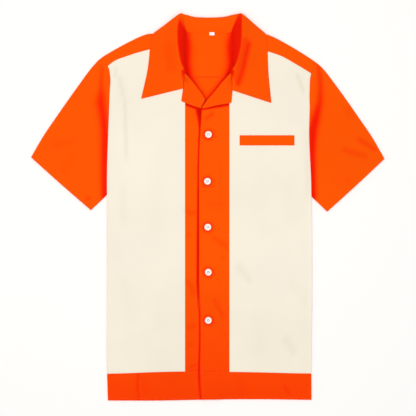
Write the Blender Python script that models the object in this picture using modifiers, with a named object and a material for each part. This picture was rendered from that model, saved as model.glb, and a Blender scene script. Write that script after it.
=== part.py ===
"""A short-sleeved bowling shirt with a camp collar, buttoned and laid flat on its back.

Millimetres in the tables, metres in the meshes. +X runs towards the wearer's left sleeve, +Y towards
the collar and +Z up from the surface that the shirt lies on. The origin is on that surface, under the
middle of the shirt. Every piece of cloth is a surface of points with a Solidify wall: the lower layer
lies flat, the upper layer follows one height field, and what lies on a panel is that field moved up.
"""
import math
from collections import namedtuple

import bmesh
import bpy
import numpy as np

MM = 0.001

# ---- driving sizes, in millimetres ---------------------------------------------------------------
CLOTH = 1.2            # wall of every panel
COLLAR_CLOTH = 2.0     # two layers and interlining
GAP = 0.3              # clearance at seams and between layers
SLACK = 0.3            # further clearance of what lies on a folded panel
LAYER = CLOTH + GAP    # rise from one layer to the next
LOFT = 2.4             # how far the front stands off the back, away from the outline
LOFT_REACH = 32.0      # distance from the outline over which the loft grows
FOLD_RISE = 1.1        # extra rise where the cloth turns round a fold at the outline
FOLD_RADIUS = (LAYER + FOLD_RISE) / 2.0   # middle of the cloth, round a fold at the outline
COLLAR_ROOM = 0.1      # further clearance over the collar that is turned under the yoke
BACK_RAISE = COLLAR_CLOTH + GAP + COLLAR_ROOM   # the yoke's back rests on the turned-down collar
FOLD_REACH = CLOTH / 2.0 + FOLD_RADIUS    # from the outline in to where a fold's turn starts
STRIP_OUT = {"right": 46.5, "left": 44.5}   # centre to the outer edge of each front strip
# Centre to the free edge of each strip: straight on the one underneath, about there on the other.
FREE_EDGE = {"right": 16.5, "left": -16.0}
BUTTON_RADIUS = 7.2
BUTTON_THICK = 2.6
BUTTON_STEPS = 20                           # sides of a button
BUTTON_FOOT = 6.0                           # how far from its middle a button feels the cloth
# A button's section, from the middle of its face out over the rim and back under it: radius, height.
BUTTON_PROFILE = [(0.0, 1.9), (4.9, 1.9), (5.9, BUTTON_THICK), (6.9, BUTTON_THICK), (BUTTON_RADIUS, 1.5),
                  (6.8, 0.7), (5.2, 0.0), (0.0, 0.0)]
WELT_TOP = 145.9
WELT_BOTTOM = 126.0
WELT_IN = 65.7
WELT_OUT = 177.2
LABEL_SIZE = (9.8, 6.0, 1.0)
LABEL_CENTRE = (8.6, 354.6)

SIDES = {"right": -1.0, "left": 1.0}        # sign of X on each side of the wearer
ORANGE = (0.98, 0.09, 0.002, 1.0)
CREAM = (0.92, 0.86, 0.71, 1.0)
WHITE = (0.86, 0.83, 0.78, 1.0)

Plan = namedtuple("Plan", "out up")
Fold = namedtuple("Fold", "x0 y0 x1 y1 width depth")
Station = namedtuple("Station", "nx ny nz rx ry rz ex ey layer tilt")
Lapel = namedtuple("Lapel", "rx ry roll ex ey")

# Outline and seams, one row for each point that the shape needs: distance out from the centre, height.
SHOULDER = {
    "right": [Plan(48.5, 366.0), Plan(80.0, 359.5), Plan(106.0, 354.6), Plan(115.0, 354.9),
              Plan(122.0, 354.3), Plan(136.4, 349.8), Plan(162.9, 337.4), Plan(185.8, 325.2), Plan(206.9, 313.0),
              Plan(220.9, 304.2)],
    "left": [Plan(53.6, 364.0), Plan(85.0, 358.0), Plan(115.0, 353.0), Plan(123.0, 352.7),
             Plan(130.0, 350.0),
             Plan(155.7, 337.4), Plan(177.0, 325.2), Plan(196.9, 313.0), Plan(215.8, 300.6),
             Plan(223.4, 295.4)],
}
YOKE_FRONT = {
    "right": [Plan(46.5, 346.5), Plan(118.8, 322.4), Plan(153.2, 313.1), Plan(170.7, 307.0),
              Plan(187.5, 300.8), Plan(197.3, 294.7), Plan(204.9, 288.5)],
    "left": [Plan(52.0, 337.5), Plan(122.5, 318.3), Plan(154.7, 307.0), Plan(176.6, 294.7),
             Plan(197.3, 282.4), Plan(211.8, 273.2)],
}
ARMHOLE = {
    "right": [Plan(206.5, 24.1), Plan(206.1, 79.4), Plan(204.3, 140.0), Plan(202.3, 190.0),
              Plan(200.8, 233.0), Plan(199.8, 268.0), Plan(204.9, 288.5), Plan(220.9, 304.2)],
    "left": [Plan(212.3, 21.0), Plan(211.4, 60.0), Plan(208.8, 112.0), Plan(207.5, 150.0),
             Plan(208.6, 200.0), Plan(208.6, 240.0), Plan(211.8, 273.2), Plan(223.4, 295.4)],
}
SLEEVE_TOP = {
    "right": [Plan(220.9, 304.2), Plan(235.4, 288.5), Plan(263.1, 251.6), Plan(289.4, 214.7),
              Plan(315.2, 177.8), Plan(337.3, 145.0), Plan(362.3, 102.0)],
    "left": [Plan(223.4, 295.4), Plan(231.1, 288.5), Plan(260.9, 251.6), Plan(287.7, 214.7),
             Plan(313.3, 177.8), Plan(335.9, 145.0), Plan(362.3, 98.9)],
}
CUFF = {
    "right": [Plan(362.3, 102.0), Plan(300.6, 46.6), Plan(239.3, -6.7)],
    "left": [Plan(362.3, 98.9), Plan(306.6, 46.6), Plan(244.5, -9.7)],
}
SIDE_SEAM = {
    "right": [Plan(204.5, -397.2), Plan(206.0, -342.5), Plan(206.4, -150.0), Plan(206.5, 24.1)],
    "left": [Plan(212.3, -395.8), Plan(212.0, -342.0), Plan(213.4, -190.0), Plan(212.3, 21.0)],
}
HEM = {
    "right": [Plan(-16.5, -395.3), Plan(13.8, -395.6), Plan(98.0, -397.2), Plan(204.5, -397.2)],
    "left": [Plan(-16.5, -395.3), Plan(107.0, -394.5), Plan(212.3, -395.8)],
}
BAND_SEAM = {
    "right": [Plan(-16.5, -337.6), Plan(46.6, -337.6), Plan(206.0, -342.5)],
    "left": [Plan(-18.0, -338.0), Plan(44.0, -338.4), Plan(212.0, -342.0)],
}
# Inner edge of the cream fronts: along the strip, then along the neck.
FRONT_INNER = {
    "right": [Plan(46.65, -345.0), Plan(46.65, 250.0), Plan(48.5, 268.0), Plan(48.5, 350.0)],
    "left": [Plan(44.65, -345.0), Plan(44.65, 250.0), Plan(53.6, 272.0), Plan(53.6, 345.0)],
}
BACK_NECK = [(-48.5, 366.0), (-40.0, 360.4), (-26.0, 358.3), (3.0, 357.8), (32.0, 358.3),
             (46.0, 360.2), (53.6, 364.0)]
BACK_YOKE_SEAM = 266.0
BACK_HEM = -394.8      # the back's lower edge
# The buttoned edge of the strip on top: X at each height.
FRONT_EDGE = [(-13.8, -395.6), (-16.3, -350.0), (-15.2, -270.0), (-15.2, -218.0), (-17.6, -200.0),
              (-18.1, -180.0), (-18.1, -90.0), (-18.1, 0.0), (-18.1, 90.0), (-15.9, 149.0),
              (-13.0, 190.0), (-12.2, 205.0)]
BUTTONS = [(1.4, 147.9), (-0.6, 52.0), (0.1, -41.7), (1.2, -134.0), (1.2, -232.6)]

# Large folds of the upper layer: a soft trough (below zero) or ridge along a line.
FOLDS = [
    Fold(-218.0, 275.0, -213.0, 180.0, 8.0, -1.5),
    Fold(-213.0, 180.0, -211.5, 40.0, 8.0, -2.0),
    Fold(-206.0, 262.0, -206.5, 160.0, 6.0, 1.0),
    Fold(229.0, 285.0, 231.0, 215.0, 8.0, -1.6),
    Fold(231.0, 215.0, 217.0, 135.0, 9.0, -2.0),
    Fold(217.0, 135.0, 216.0, 40.0, 8.0, -2.0),
    Fold(296.0, 146.0, 344.0, 117.0, 8.0, -1.3),
    Fold(262.0, 120.0, 322.0, 99.0, 9.0, -1.2),
    Fold(-322.0, 124.0, -266.0, 136.0, 9.0, -0.9),
    Fold(-178.0, 268.0, -176.0, 160.0, 12.0, 0.9),
    Fold(-172.0, 52.0, -172.0, -60.0, 14.0, -0.8),
    Fold(192.0, 270.0, 208.0, 228.0, 7.0, 0.9),
    Fold(56.0, -112.0, 98.0, -164.0, 12.0, -1.0),
    Fold(156.0, -262.0, 182.0, -308.0, 12.0, -1.1),
    Fold(-143.0, -343.0, -143.0, -392.0, 6.0, -1.1),
    Fold(157.0, -366.0, 169.0, -388.0, 6.0, -1.0),
    Fold(-44.0, -6.0, -20.0, -2.0, 6.0, -0.8),
    Fold(-44.0, -156.0, -28.0, -160.0, 8.0, -0.8),
    Fold(-44.0, -248.0, -20.0, -243.0, 6.0, -0.8),
    Fold(-44.0, -328.0, -22.0, -320.0, 6.0, -1.1),
    Fold(24.0, -70.0, 46.0, -92.0, 7.0, -0.9),
    Fold(8.0, -176.0, 36.0, -236.0, 8.0, -0.8),
]

# The collar: neck edge, top of the roll and outer edge. layer is 0 where the outer edge lies under the
# back, 1 where it lies on the front; tilt is how steeply the cloth leaves the neck edge, in degrees.
COLLAR = {
    "right": [
        Station(-11.0, 359.4, 3.3, -11.0, 387.2, 4.8, -13.0, 337.0, 0.0, 22.0),
        Station(-27.0, 359.9, 3.4, -27.0, 388.2, 5.2, -34.0, 337.8, 0.0, 22.0),
        Station(-40.0, 362.4, 3.8, -41.6, 391.6, 6.8, -64.0, 341.0, 0.0, 25.0),
        Station(-45.2, 367.4, 4.6, -49.6, 395.0, 8.8, -90.0, 347.6, 0.0, 28.0),
        Station(-46.8, 369.4, 5.4, -53.0, 396.6, 10.4, -101.4, 354.4, 0.08, 32.0),
        Station(-47.2, 369.6, 6.2, -54.8, 396.8, 11.6, -107.2, 357.4, 0.5, 36.0),
        Station(-47.2, 368.0, 6.8, -56.4, 394.2, 12.8, -110.6, 354.6, 0.92, 40.0),
        Station(-46.8, 364.0, 7.0, -58.0, 388.0, 14.2, -113.0, 348.0, 1.0, 46.0),
        Station(-46.4, 352.0, 6.4, -61.6, 367.0, 17.6, -116.6, 338.0, 1.0, 60.0),
        Station(-46.2, 334.0, 5.4, -61.8, 338.0, 20.0, -117.8, 325.0, 1.0, 72.0),
        Station(-46.2, 312.0, 5.0, -59.4, 316.0, 20.0, -119.2, 308.0, 1.0, 76.0),
        Station(-46.2, 291.0, 5.4, -55.2, 294.0, 17.0, -121.6, 288.0, 1.0, 76.0),
        Station(-46.4, 277.6, 8.0, -51.6, 278.4, 13.2, -124.6, 270.0, 1.0, 60.0),
        Station(-51.0, 262.0, 8.4, -54.6, 262.0, 9.6, -128.0, 255.0, 1.0, 30.0),
        Station(-51.2, 242.6, 6.9, -54.6, 241.9, 7.0, -135.8, 221.9, 1.0, 5.0),
    ],
    "left": [
        Station(23.0, 359.4, 3.3, 23.0, 387.6, 4.8, 25.0, 337.0, 0.0, 22.0),
        Station(37.0, 360.0, 3.4, 38.0, 389.2, 5.4, 47.0, 338.0, 0.0, 22.0),
        Station(47.6, 362.0, 3.8, 52.6, 392.6, 7.2, 76.0, 341.0, 0.0, 25.0),
        Station(50.8, 365.6, 4.6, 62.0, 395.6, 9.2, 100.0, 346.4, 0.0, 28.0),
        Station(52.0, 367.6, 5.4, 66.2, 396.8, 10.8, 111.2, 352.6, 0.08, 32.0),
        Station(52.3, 367.8, 6.2, 68.0, 396.8, 11.9, 116.6, 355.4, 0.5, 36.0),
        Station(52.3, 366.2, 6.8, 69.0, 393.8, 13.0, 118.6, 352.6, 0.92, 40.0),
        Station(52.0, 362.4, 7.0, 69.6, 387.6, 14.4, 119.6, 346.4, 1.0, 46.0),
        Station(51.6, 350.0, 6.4, 69.9, 366.0, 17.8, 121.2, 336.0, 1.0, 60.0),
        Station(51.3, 330.0, 5.4, 68.4, 334.0, 20.4, 122.2, 320.0, 1.0, 72.0),
        Station(51.2, 309.0, 5.0, 64.2, 311.0, 20.4, 122.5, 304.0, 1.0, 76.0),
        Station(50.8, 291.0, 5.4, 58.2, 292.0, 17.4, 123.2, 286.0, 1.0, 76.0),
        Station(49.6, 276.8, 8.0, 53.4, 277.4, 13.2, 124.4, 266.0, 1.0, 60.0),
        Station(51.8, 260.0, 8.4, 55.4, 259.6, 9.6, 126.4, 246.0, 1.0, 30.0),
        Station(51.0, 238.8, 6.9, 54.6, 238.0, 7.0, 129.7, 213.3, 1.0, 5.0),
    ],
}
# The lapels, from the button end to the collar: point on the roll, radius of the roll, outer edge.
LAPEL = {
    "right": [
        Lapel(-4.6, 219.2, 2.0, -14.6, 202.2),
        Lapel(-8.6, 228.2, 2.2, -30.0, 207.2),
        Lapel(-19.4, 242.8, 2.8, -54.0, 216.4),
        Lapel(-29.0, 255.6, 3.4, -50.6, 240.6),
        Lapel(-38.6, 266.6, 3.8, -50.4, 257.0),
        Lapel(-43.2, 271.6, 4.0, -50.2, 266.0),
    ],
    "left": [
        Lapel(-12.2, 204.6, 2.0, -5.6, 203.6),
        Lapel(-1.7, 219.0, 2.2, 20.0, 208.6),
        Lapel(15.7, 239.3, 2.8, 48.2, 213.0),
        Lapel(27.6, 254.8, 3.4, 50.4, 236.8),
        Lapel(39.6, 267.8, 3.8, 51.2, 256.0),
        Lapel(44.6, 272.4, 4.0, 51.0, 265.0),
    ],
}
# Top of each front strip: it stops short of the roll of its lapel. X and height.
STRIP_TOP = {
    "right": [(-46.5, 264.4), (-36.2, 253.6), (-19.4, 233.0), (-3.6, 210.6), (6.0, 199.0), (16.5, 186.0)],
    "left": [(-17.0, 203.0), (-11.5, 199.6), (-8.0, 198.8), (-1.7, 209.6), (15.7, 230.0), (35.2, 253.6),
             (44.5, 262.4)],
}
LAPEL_LEG = 1.5        # how far the lapel reaches back into its strip before the seam
LAPEL_DROP = 1.3       # how soon a lapel lies down: above 1 it lies flat before its edge

# Zones in which a height field grows: where it starts, and over what distance.
TURNED_COLLAR = {"middle": 2.0, "half": 158.0, "ease": 34.0, "low": 292.0, "rise": 38.0}
ROUND_FOLD = {"low": 30.0, "rise": 45.0, "out": 207.0, "ease": 8.0}
OVERLAP = {"left": 34.0, "ease_left": 14.0, "right": -60.0, "ease_right": 20.0,
           "top": 236.0, "ease_top": 14.0}

# Grids: where the underarm falls in a panel's rows, and how much closer the rows come towards the top.
YOKE_BACK_ROWS = 7
UNDERARM_SHARE = 0.62
ARMHOLE_CROWDING = 1.5
SETTLING_STEPS = 16    # rounds in which a corner between two curved seams settles
SLEEVE_CLEARANCE = GAP + 0.15              # sleeve from body, along the armhole
SLEEVE_CAP_STEP = 6.0                      # first step down a sleeve's armhole
SLEEVE_CAP = (262.0, 236.0)                # heights between which the sleeve's steps grow longer

# How the collar's sections bend: shares of the stand, the fall and the roll's bend, and the most it bends.
BEND = {"stand": 0.4, "fall": 0.5, "up": 0.5, "down": 0.6, "share": 0.45, "most": 7.0}
ROLL_DIP = 0.25        # how far the roll already leans over at its top
STATION_SPACING = 4.0  # added to the run between stations, so that close ones don't pinch the curve
# Where the collar is turned under: below this layer, from just past the yoke's edge, over an easy run.
TURN_UNDER = {"layer": 0.3, "start": 1.0, "ease": 13.0}
MOST_TILT = 80.0


# ---- curves and heights -----------------------------------------------------------------------
def smooth(value):
    """Ease from 0 to 1 as value goes from 0 to 1, level at both ends."""
    t = np.clip(value, 0.0, 1.0)
    return t * t * (3.0 - 2.0 * t)


def spline(rows, where):
    """Points on a Catmull-Rom curve through the rows, at where = 0 to 1 of its chord length."""
    pts = np.asarray(rows, dtype=float)
    chord = np.r_[0.0, np.cumsum(np.linalg.norm(np.diff(pts[:, :2], axis=0), axis=1))]
    return hermite(pts, chord, np.asarray(where, dtype=float) * chord[-1])


def hermite(pts, knots, at):
    """Cubic curve through pts at the given knots, with slopes taken from the neighbouring points."""
    steps = np.diff(knots)[:, None]
    runs = np.diff(pts, axis=0) / steps
    slopes = np.vstack([runs[:1], (runs[:-1] * steps[1:] + runs[1:] * steps[:-1])
                        / (steps[1:] + steps[:-1]), runs[-1:]])
    seg = np.clip(np.searchsorted(knots, at, side="right") - 1, 0, len(knots) - 2)
    h = steps[seg]
    t = ((at - knots[seg])[:, None]) / h
    a = (1 + 2 * t) * (1 - t) ** 2
    b = t * (1 - t) ** 2
    c = t * t * (3 - 2 * t)
    d = t * t * (t - 1)
    return a * pts[seg] + b * h * slopes[seg] + c * pts[seg + 1] + d * h * slopes[seg + 1]


def reading(rows, at, key, value):
    """One coordinate of a table read against another, as smooth as the table's curve."""
    pts = np.asarray(rows, dtype=float)
    order = np.argsort(pts[:, key])
    knots = pts[order, key]
    flat = np.clip(np.asarray(at, dtype=float).ravel(), knots[0], knots[-1])
    return hermite(pts[order][:, [value]], knots, flat)[:, 0].reshape(np.shape(at))


def outline_points():
    """The whole silhouette of the shirt, as one closed run of points."""
    runs = []
    for side, sign in SIDES.items():
        run = HEM[side][1:] + SIDE_SEAM[side][1:] + [CUFF[side][2], CUFF[side][0]]
        run += SLEEVE_TOP[side][::-1][1:] + SHOULDER[side][::-1][1:]
        pts = np.array(run, dtype=float) * (sign, 1.0)
        runs.append(pts if sign > 0 else pts[::-1])
    return np.vstack([runs[1], runs[0]])


def distance_to_run(x, y, run):
    """Distance in plan from each point to the nearest stretch of an open run of points."""
    best = np.full(np.shape(x), 1e9)
    for (ax, ay), (bx, by) in zip(run[:-1], run[1:]):
        dx, dy = bx - ax, by - ay
        t = np.clip(((x - ax) * dx + (y - ay) * dy) / (dx * dx + dy * dy), 0.0, 1.0)
        best = np.minimum(best, np.hypot(x - ax - t * dx, y - ay - t * dy))
    return best


OUTLINE = outline_points()


def back_under(x, y):
    """Underside of the lower layer: on the surface, raised where the collar is turned under it."""
    zone = TURNED_COLLAR
    across = smooth((zone["half"] - np.abs(x - zone["middle"])) / zone["ease"])
    return BACK_RAISE * across * smooth((y - zone["low"]) / zone["rise"])


def front_under(x, y):
    """Underside of the upper layer: a gap over the lower one, lofted and folded inside the outline."""
    edge = distance_to_run(x, y, np.vstack([OUTLINE, OUTLINE[:1]]))
    zone = ROUND_FOLD
    above = smooth((y - zone["low"]) / zone["rise"])
    low = FOLD_RISE * np.maximum(above, smooth((np.abs(x) - zone["out"]) / zone["ease"]))
    inside = smooth(edge / LOFT_REACH)
    height = back_under(x, y) + LAYER + low + (LOFT - low) * inside
    for fold in FOLDS:
        line = [(fold.x0, fold.y0), (fold.x1, fold.y1)]
        near = distance_to_run(x, y, line) / fold.width
        height = height + fold.depth * inside * np.exp(-near * near)
    return height


def strip_raise(x, y):
    """How far the strip on top stands above the strip that it covers."""
    zone = OVERLAP
    across = smooth((zone["left"] - x) / zone["ease_left"])
    across = across * smooth((x - zone["right"]) / zone["ease_right"])
    return (LAYER + SLACK) * across * smooth((zone["top"] - y) / zone["ease_top"])


def panel_mid(x, y, layers=0.0, wall=CLOTH):
    """Middle of a wall that lies on the upper layer, above a number of layers."""
    return front_under(x, y) + layers * LAYER + wall / 2.0


# ---- meshes ---------------------------------------------------------------------------------
def material(name, colour, roughness):
    """A plain finish."""
    made = bpy.data.materials.new(name)
    made.use_nodes = True
    shader = made.node_tree.nodes["Principled BSDF"]
    shader.inputs["Base Color"].default_value = colour
    shader.inputs["Roughness"].default_value = roughness
    shader.inputs["Metallic"].default_value = 0.0
    return made


def add_object(name, mesh, colour, group, roughness=0.85):
    """Put a mesh in the shirt's collection, with a finish of its own."""
    obj = bpy.data.objects.new(name, mesh)
    mesh.materials.append(material(name, colour, roughness))
    mesh.shade_smooth()
    mesh.set_sharp_from_angle(angle=math.radians(40.0))
    group.objects.link(obj)
    return obj


def loft(points, wrap=False, keep=None):
    """A mesh of quads through a grid of points in millimetres; keep says which quads are made."""
    rows, cols = points.shape[:2]
    index = np.arange(rows * cols).reshape(rows, cols)
    if wrap:
        index = np.hstack([index, index[:, :1]])
    quads = np.stack([index[:-1, :-1], index[:-1, 1:], index[1:, 1:], index[1:, :-1]], axis=-1)
    if keep is not None:
        quads = quads[keep]
    mesh = bpy.data.meshes.new("cloth")
    mesh.from_pydata((points.reshape(-1, 3) * MM).tolist(), [], quads.reshape(-1, 4).tolist())
    shape = bmesh.new()
    shape.from_mesh(mesh)
    loose = [vert for vert in shape.verts if not vert.link_faces]
    bmesh.ops.delete(shape, geom=loose, context="VERTS")
    shape.to_mesh(mesh)
    shape.free()
    return mesh


def cloth(name, points, colour, group, wall=CLOTH, wrap=False, keep=None):
    """A sewn piece: the middle surface with a wall of even thickness."""
    obj = add_object(name, loft(points, wrap, keep), colour, group)
    thick = obj.modifiers.new("wall", "SOLIDIFY")
    thick.thickness = wall * MM
    thick.offset = 0.0
    thick.use_even_offset = True
    return obj


def stack(x, y, z):
    """Three arrays as one grid of points."""
    return np.stack(np.broadcast_arrays(x, y, z), axis=-1)


def shares(count):
    """count + 1 even steps from 0 to 1."""
    return np.linspace(0.0, 1.0, count + 1)


# ---- the panels -----------------------------------------------------------------------------
def side_edge(side, y):
    """Outer edge of the body at each height: the side seam, then the armhole."""
    rows = SIDE_SEAM[side] + ARMHOLE[side][1:]
    return reading(rows, y, 1, 0)


def body_shares(below, above):
    """Steps up a panel, closer together beside the armhole than below the underarm."""
    upper = 1.0 - (1.0 - shares(above)[1:]) ** ARMHOLE_CROWDING
    return np.r_[shares(below) * UNDERARM_SHARE, UNDERARM_SHARE + upper * (1.0 - UNDERARM_SHARE)]


def build_back(group):
    """The lower layer from the hem to the yoke seam, flat on the surface."""
    rise = body_shares(10, 18)[:, None]
    across = shares(6)[None, :]
    top = BACK_YOKE_SEAM - GAP / 2.0
    y = BACK_HEM + (top - BACK_HEM) * rise
    right = -side_edge("right", y)
    left = side_edge("left", y)
    x = right + (left - right) * across
    return cloth("back", stack(x, y + 0.0 * x, CLOTH / 2.0 + 0.0 * x), ORANGE, group)


def shoulder_height(x):
    """Height of the shoulder fold at each distance across."""
    return np.where(x < 0, reading(SHOULDER["right"], -x, 0, 1), reading(SHOULDER["left"], x, 0, 1))


def yoke_fold_height(x):
    """Highest point of the yoke: its shoulder folds, and the neck edge between them."""
    on_neck = (x > BACK_NECK[0][0]) & (x < BACK_NECK[-1][0])
    return np.where(on_neck, reading(BACK_NECK, x, 0, 1), shoulder_height(x))


def yoke_front_height(x):
    """Height of the seam between the yoke and the fronts."""
    return np.where(x < 0, reading(YOKE_FRONT["right"], -x, 0, 1), reading(YOKE_FRONT["left"], x, 0, 1))


def fit_armhole(x, y):
    """Move the outer columns of the yoke inwards, so that the last one follows the armhole."""
    tip = np.where(x < 0, -ARMHOLE["right"][-1].out, ARMHOLE["left"][-1].out)
    edge = np.where(x < 0, -side_edge("right", y), side_edge("left", y))
    return x + (edge - tip) * smooth((x / tip - 0.5) / 0.5)


def build_yoke(group):
    """The yoke: up the back, round the shoulder folds, and down to the front yoke seams."""
    neck = (BACK_NECK[0][0], BACK_NECK[-1][0])
    outer = [-(ARMHOLE["right"][-1].out), ARMHOLE["left"][-1].out]
    x = np.r_[np.linspace(outer[0], neck[0], 14), np.linspace(neck[0], neck[1], 9)[1:-1],
              np.linspace(neck[1], outer[1], 14)]
    on_neck = (x > neck[0] + 0.1) & (x < neck[1] - 0.1)
    fold = yoke_fold_height(x)
    # Behind: from the seam up to the start of the fold.
    foot = np.full_like(x, BACK_YOKE_SEAM + GAP / 2.0)
    start = fold - FOLD_REACH
    rows = []
    for share in shares(YOKE_BACK_ROWS):
        y = foot + (start - foot) * share
        px = fit_armhole(x, y)
        rows.append(np.stack([px, y, back_under(px, y) + CLOTH / 2.0], axis=-1))
    # Round the fold, by half a turn.
    crest = rows[-1]
    for angle in np.radians(np.linspace(-90.0, 90.0, 7)[1:-1]):
        y = crest[:, 1] + FOLD_RADIUS * math.cos(angle)
        z = crest[:, 2] + FOLD_RADIUS * (1.0 + math.sin(angle))
        rows.append(np.stack([crest[:, 0], y, z], axis=-1))
    # In front: from the fold down to the seam with the cream fronts.
    front = yoke_front_height(x)
    for _ in range(SETTLING_STEPS):
        front = yoke_front_height(fit_armhole(x, front))
    for share in shares(5):
        y = start + (front + GAP / 2.0 - start) * share
        px = fit_armhole(x, y)
        rows.append(np.stack([px, y, front_under(px, y) + CLOTH / 2.0], axis=-1))
    points = np.array(rows)
    keep = np.ones((points.shape[0] - 1, points.shape[1] - 1), dtype=bool)
    hole = on_neck[:-1] | on_neck[1:]
    keep[YOKE_BACK_ROWS:, hole] = False
    return cloth("yoke", points, ORANGE, group, keep=keep)


def inner_edge(side, y):
    """Inner edge of a cream front at each height: the strip seam, then the neck."""
    seam = FRONT_INNER[side]
    return np.interp(y, [p.up for p in seam], [p.out for p in seam])


def build_front_panel(side, group):
    """A cream front: band seam to yoke seam, strip seam to side seam and armhole."""
    sign = SIDES[side]
    inner = STRIP_OUT[side] + GAP / 2.0
    rise = body_shares(9, 12)[:, None]
    across = shares(12)[None, :]
    out = inner + (side_edge(side, 0.0 * across) - inner) * across
    low = reading(BAND_SEAM[side], out, 0, 1) + GAP / 2.0
    for _ in range(SETTLING_STEPS):
        top = reading(YOKE_FRONT[side], out, 0, 1) - GAP
        start = inner_edge(side, top)
        out = start + (side_edge(side, top) - start) * across
    y = low + (top - low) * rise
    start = inner_edge(side, y)
    out = start + (side_edge(side, y) - start) * across
    x = sign * out
    return cloth("front_panel_" + side, stack(x, y, panel_mid(x, y)), CREAM, group)


def strip_front_edge(side, y):
    """Free edge of a front strip."""
    if side == "right":
        return np.full_like(y, FREE_EDGE[side])
    return reading(FRONT_EDGE, y, 1, 0)


def lay_front(side, x, y):
    """Middle of the cloth in the front strips and bands, over the other side where they cross."""
    raised = strip_raise(x, y) if side == "left" else 0.0
    return panel_mid(x, y) + raised


def build_strip(side, group):
    """A front strip: band seam to the roll of the lapel."""
    sign = SIDES[side]
    outer = sign * (STRIP_OUT[side] - GAP / 2.0)
    rise = shares(24)[:, None]
    across = shares(6)[None, :]
    low = BAND_SEAM[side][0].up + GAP / 2.0
    guess = outer + (FREE_EDGE[side] - outer) * across
    top = reading(STRIP_TOP[side], guess, 0, 1)
    y = low + (top - low) * rise
    edge = strip_front_edge(side, y)
    x = outer + (edge - outer) * across
    return cloth("front_strip_" + side, stack(x, y, lay_front(side, x, y)), ORANGE, group)


def build_band(side, group):
    """A hem band, from the side seam to the front edge."""
    sign = SIDES[side]
    rise = shares(4)[:, None]
    across = shares(14)[None, :]
    side_out = SIDE_SEAM[side][1].out
    guess = sign * side_out + (FREE_EDGE[side] - sign * side_out) * across
    out = guess * sign
    top = reading(BAND_SEAM[side], out, 0, 1) - GAP / 2.0
    low = reading(HEM[side], out, 0, 1)
    y = low + (top - low) * rise
    edge = strip_front_edge(side, y)
    far = sign * reading(SIDE_SEAM[side], y, 1, 0)
    x = far + (edge - far) * across
    return cloth("hem_band_" + side, stack(x, y, lay_front(side, x, y)), ORANGE, group)


def build_sleeve(side, group):
    """A flattened tube from the armhole to the cuff, with soft folds along its top and underarm."""
    sign = SIDES[side]
    along = shares(9)
    top = ARMHOLE[side][-1].up - FOLD_REACH
    bottom = ARMHOLE[side][0].up + FOLD_REACH
    heights = np.r_[top, np.linspace(top - SLEEVE_CAP_STEP, SLEEVE_CAP[0], 5),
                    np.linspace(SLEEVE_CAP[1], bottom, 8)]
    hole = np.column_stack([side_edge(side, heights) + SLEEVE_CLEARANCE, heights])
    share = (top - heights) / (top - bottom)
    corners = np.array(CUFF[side], dtype=float)
    down = unit(corners[-1] - corners[0])
    cuff = spline([corners[0] + down * FOLD_REACH, corners[1], corners[-1] - down * FOLD_REACH], share)
    crests = spline(SLEEVE_TOP[side], along)
    turns = np.radians(np.linspace(90.0, -90.0, 6)[1:-1])
    rings = []
    for u, crest in zip(along, crests):
        line = hole * (1.0 - u) + cuff * u
        away = unit(line[-1] - line[0])
        bow = crest + away * FOLD_REACH - line[0]
        line = line + bow * ((1.0 - share) ** 2)[:, None] * (1.0 if u > 0.0 else 0.0)
        x, y = sign * line[:, 0], line[:, 1]
        upper = np.stack([x, y, panel_mid(x, y)], axis=-1)
        lower = np.stack([x, y, np.full_like(x, CLOTH / 2.0)], axis=-1)[::-1]
        round_low = [turn_point(upper[-1], sign, away, a) for a in turns]
        round_high = [turn_point(upper[0], sign, -away, a) for a in turns[::-1]]
        rings.append(np.vstack([upper, round_low, lower, round_high]))
    return cloth("sleeve_" + side, np.array(rings), ORANGE, group, wrap=True)


def turn_point(start, sign, away, angle):
    """A point of the half circle from the upper layer's edge down to the lower layer."""
    middle = (start[2] + CLOTH / 2.0) / 2.0
    radius = (start[2] - CLOTH / 2.0) / 2.0
    step = radius * math.cos(angle)
    return (start[0] + sign * away[0] * step, start[1] + away[1] * step,
            middle + radius * math.sin(angle))


# ---- collar and lapels ----------------------------------------------------------------------
def unit(vectors):
    """Vectors scaled to length one."""
    return vectors / np.linalg.norm(vectors, axis=-1, keepdims=True)


def bezier(p0, p1, p2, p3, t):
    """Cubic curves between rows of points, one row of the result for each value of t."""
    t = t[:, None, None]
    return ((1 - t) ** 3 * p0 + 3 * t * (1 - t) ** 2 * p1 + 3 * t * t * (1 - t) * p2 + t ** 3 * p3)


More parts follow.
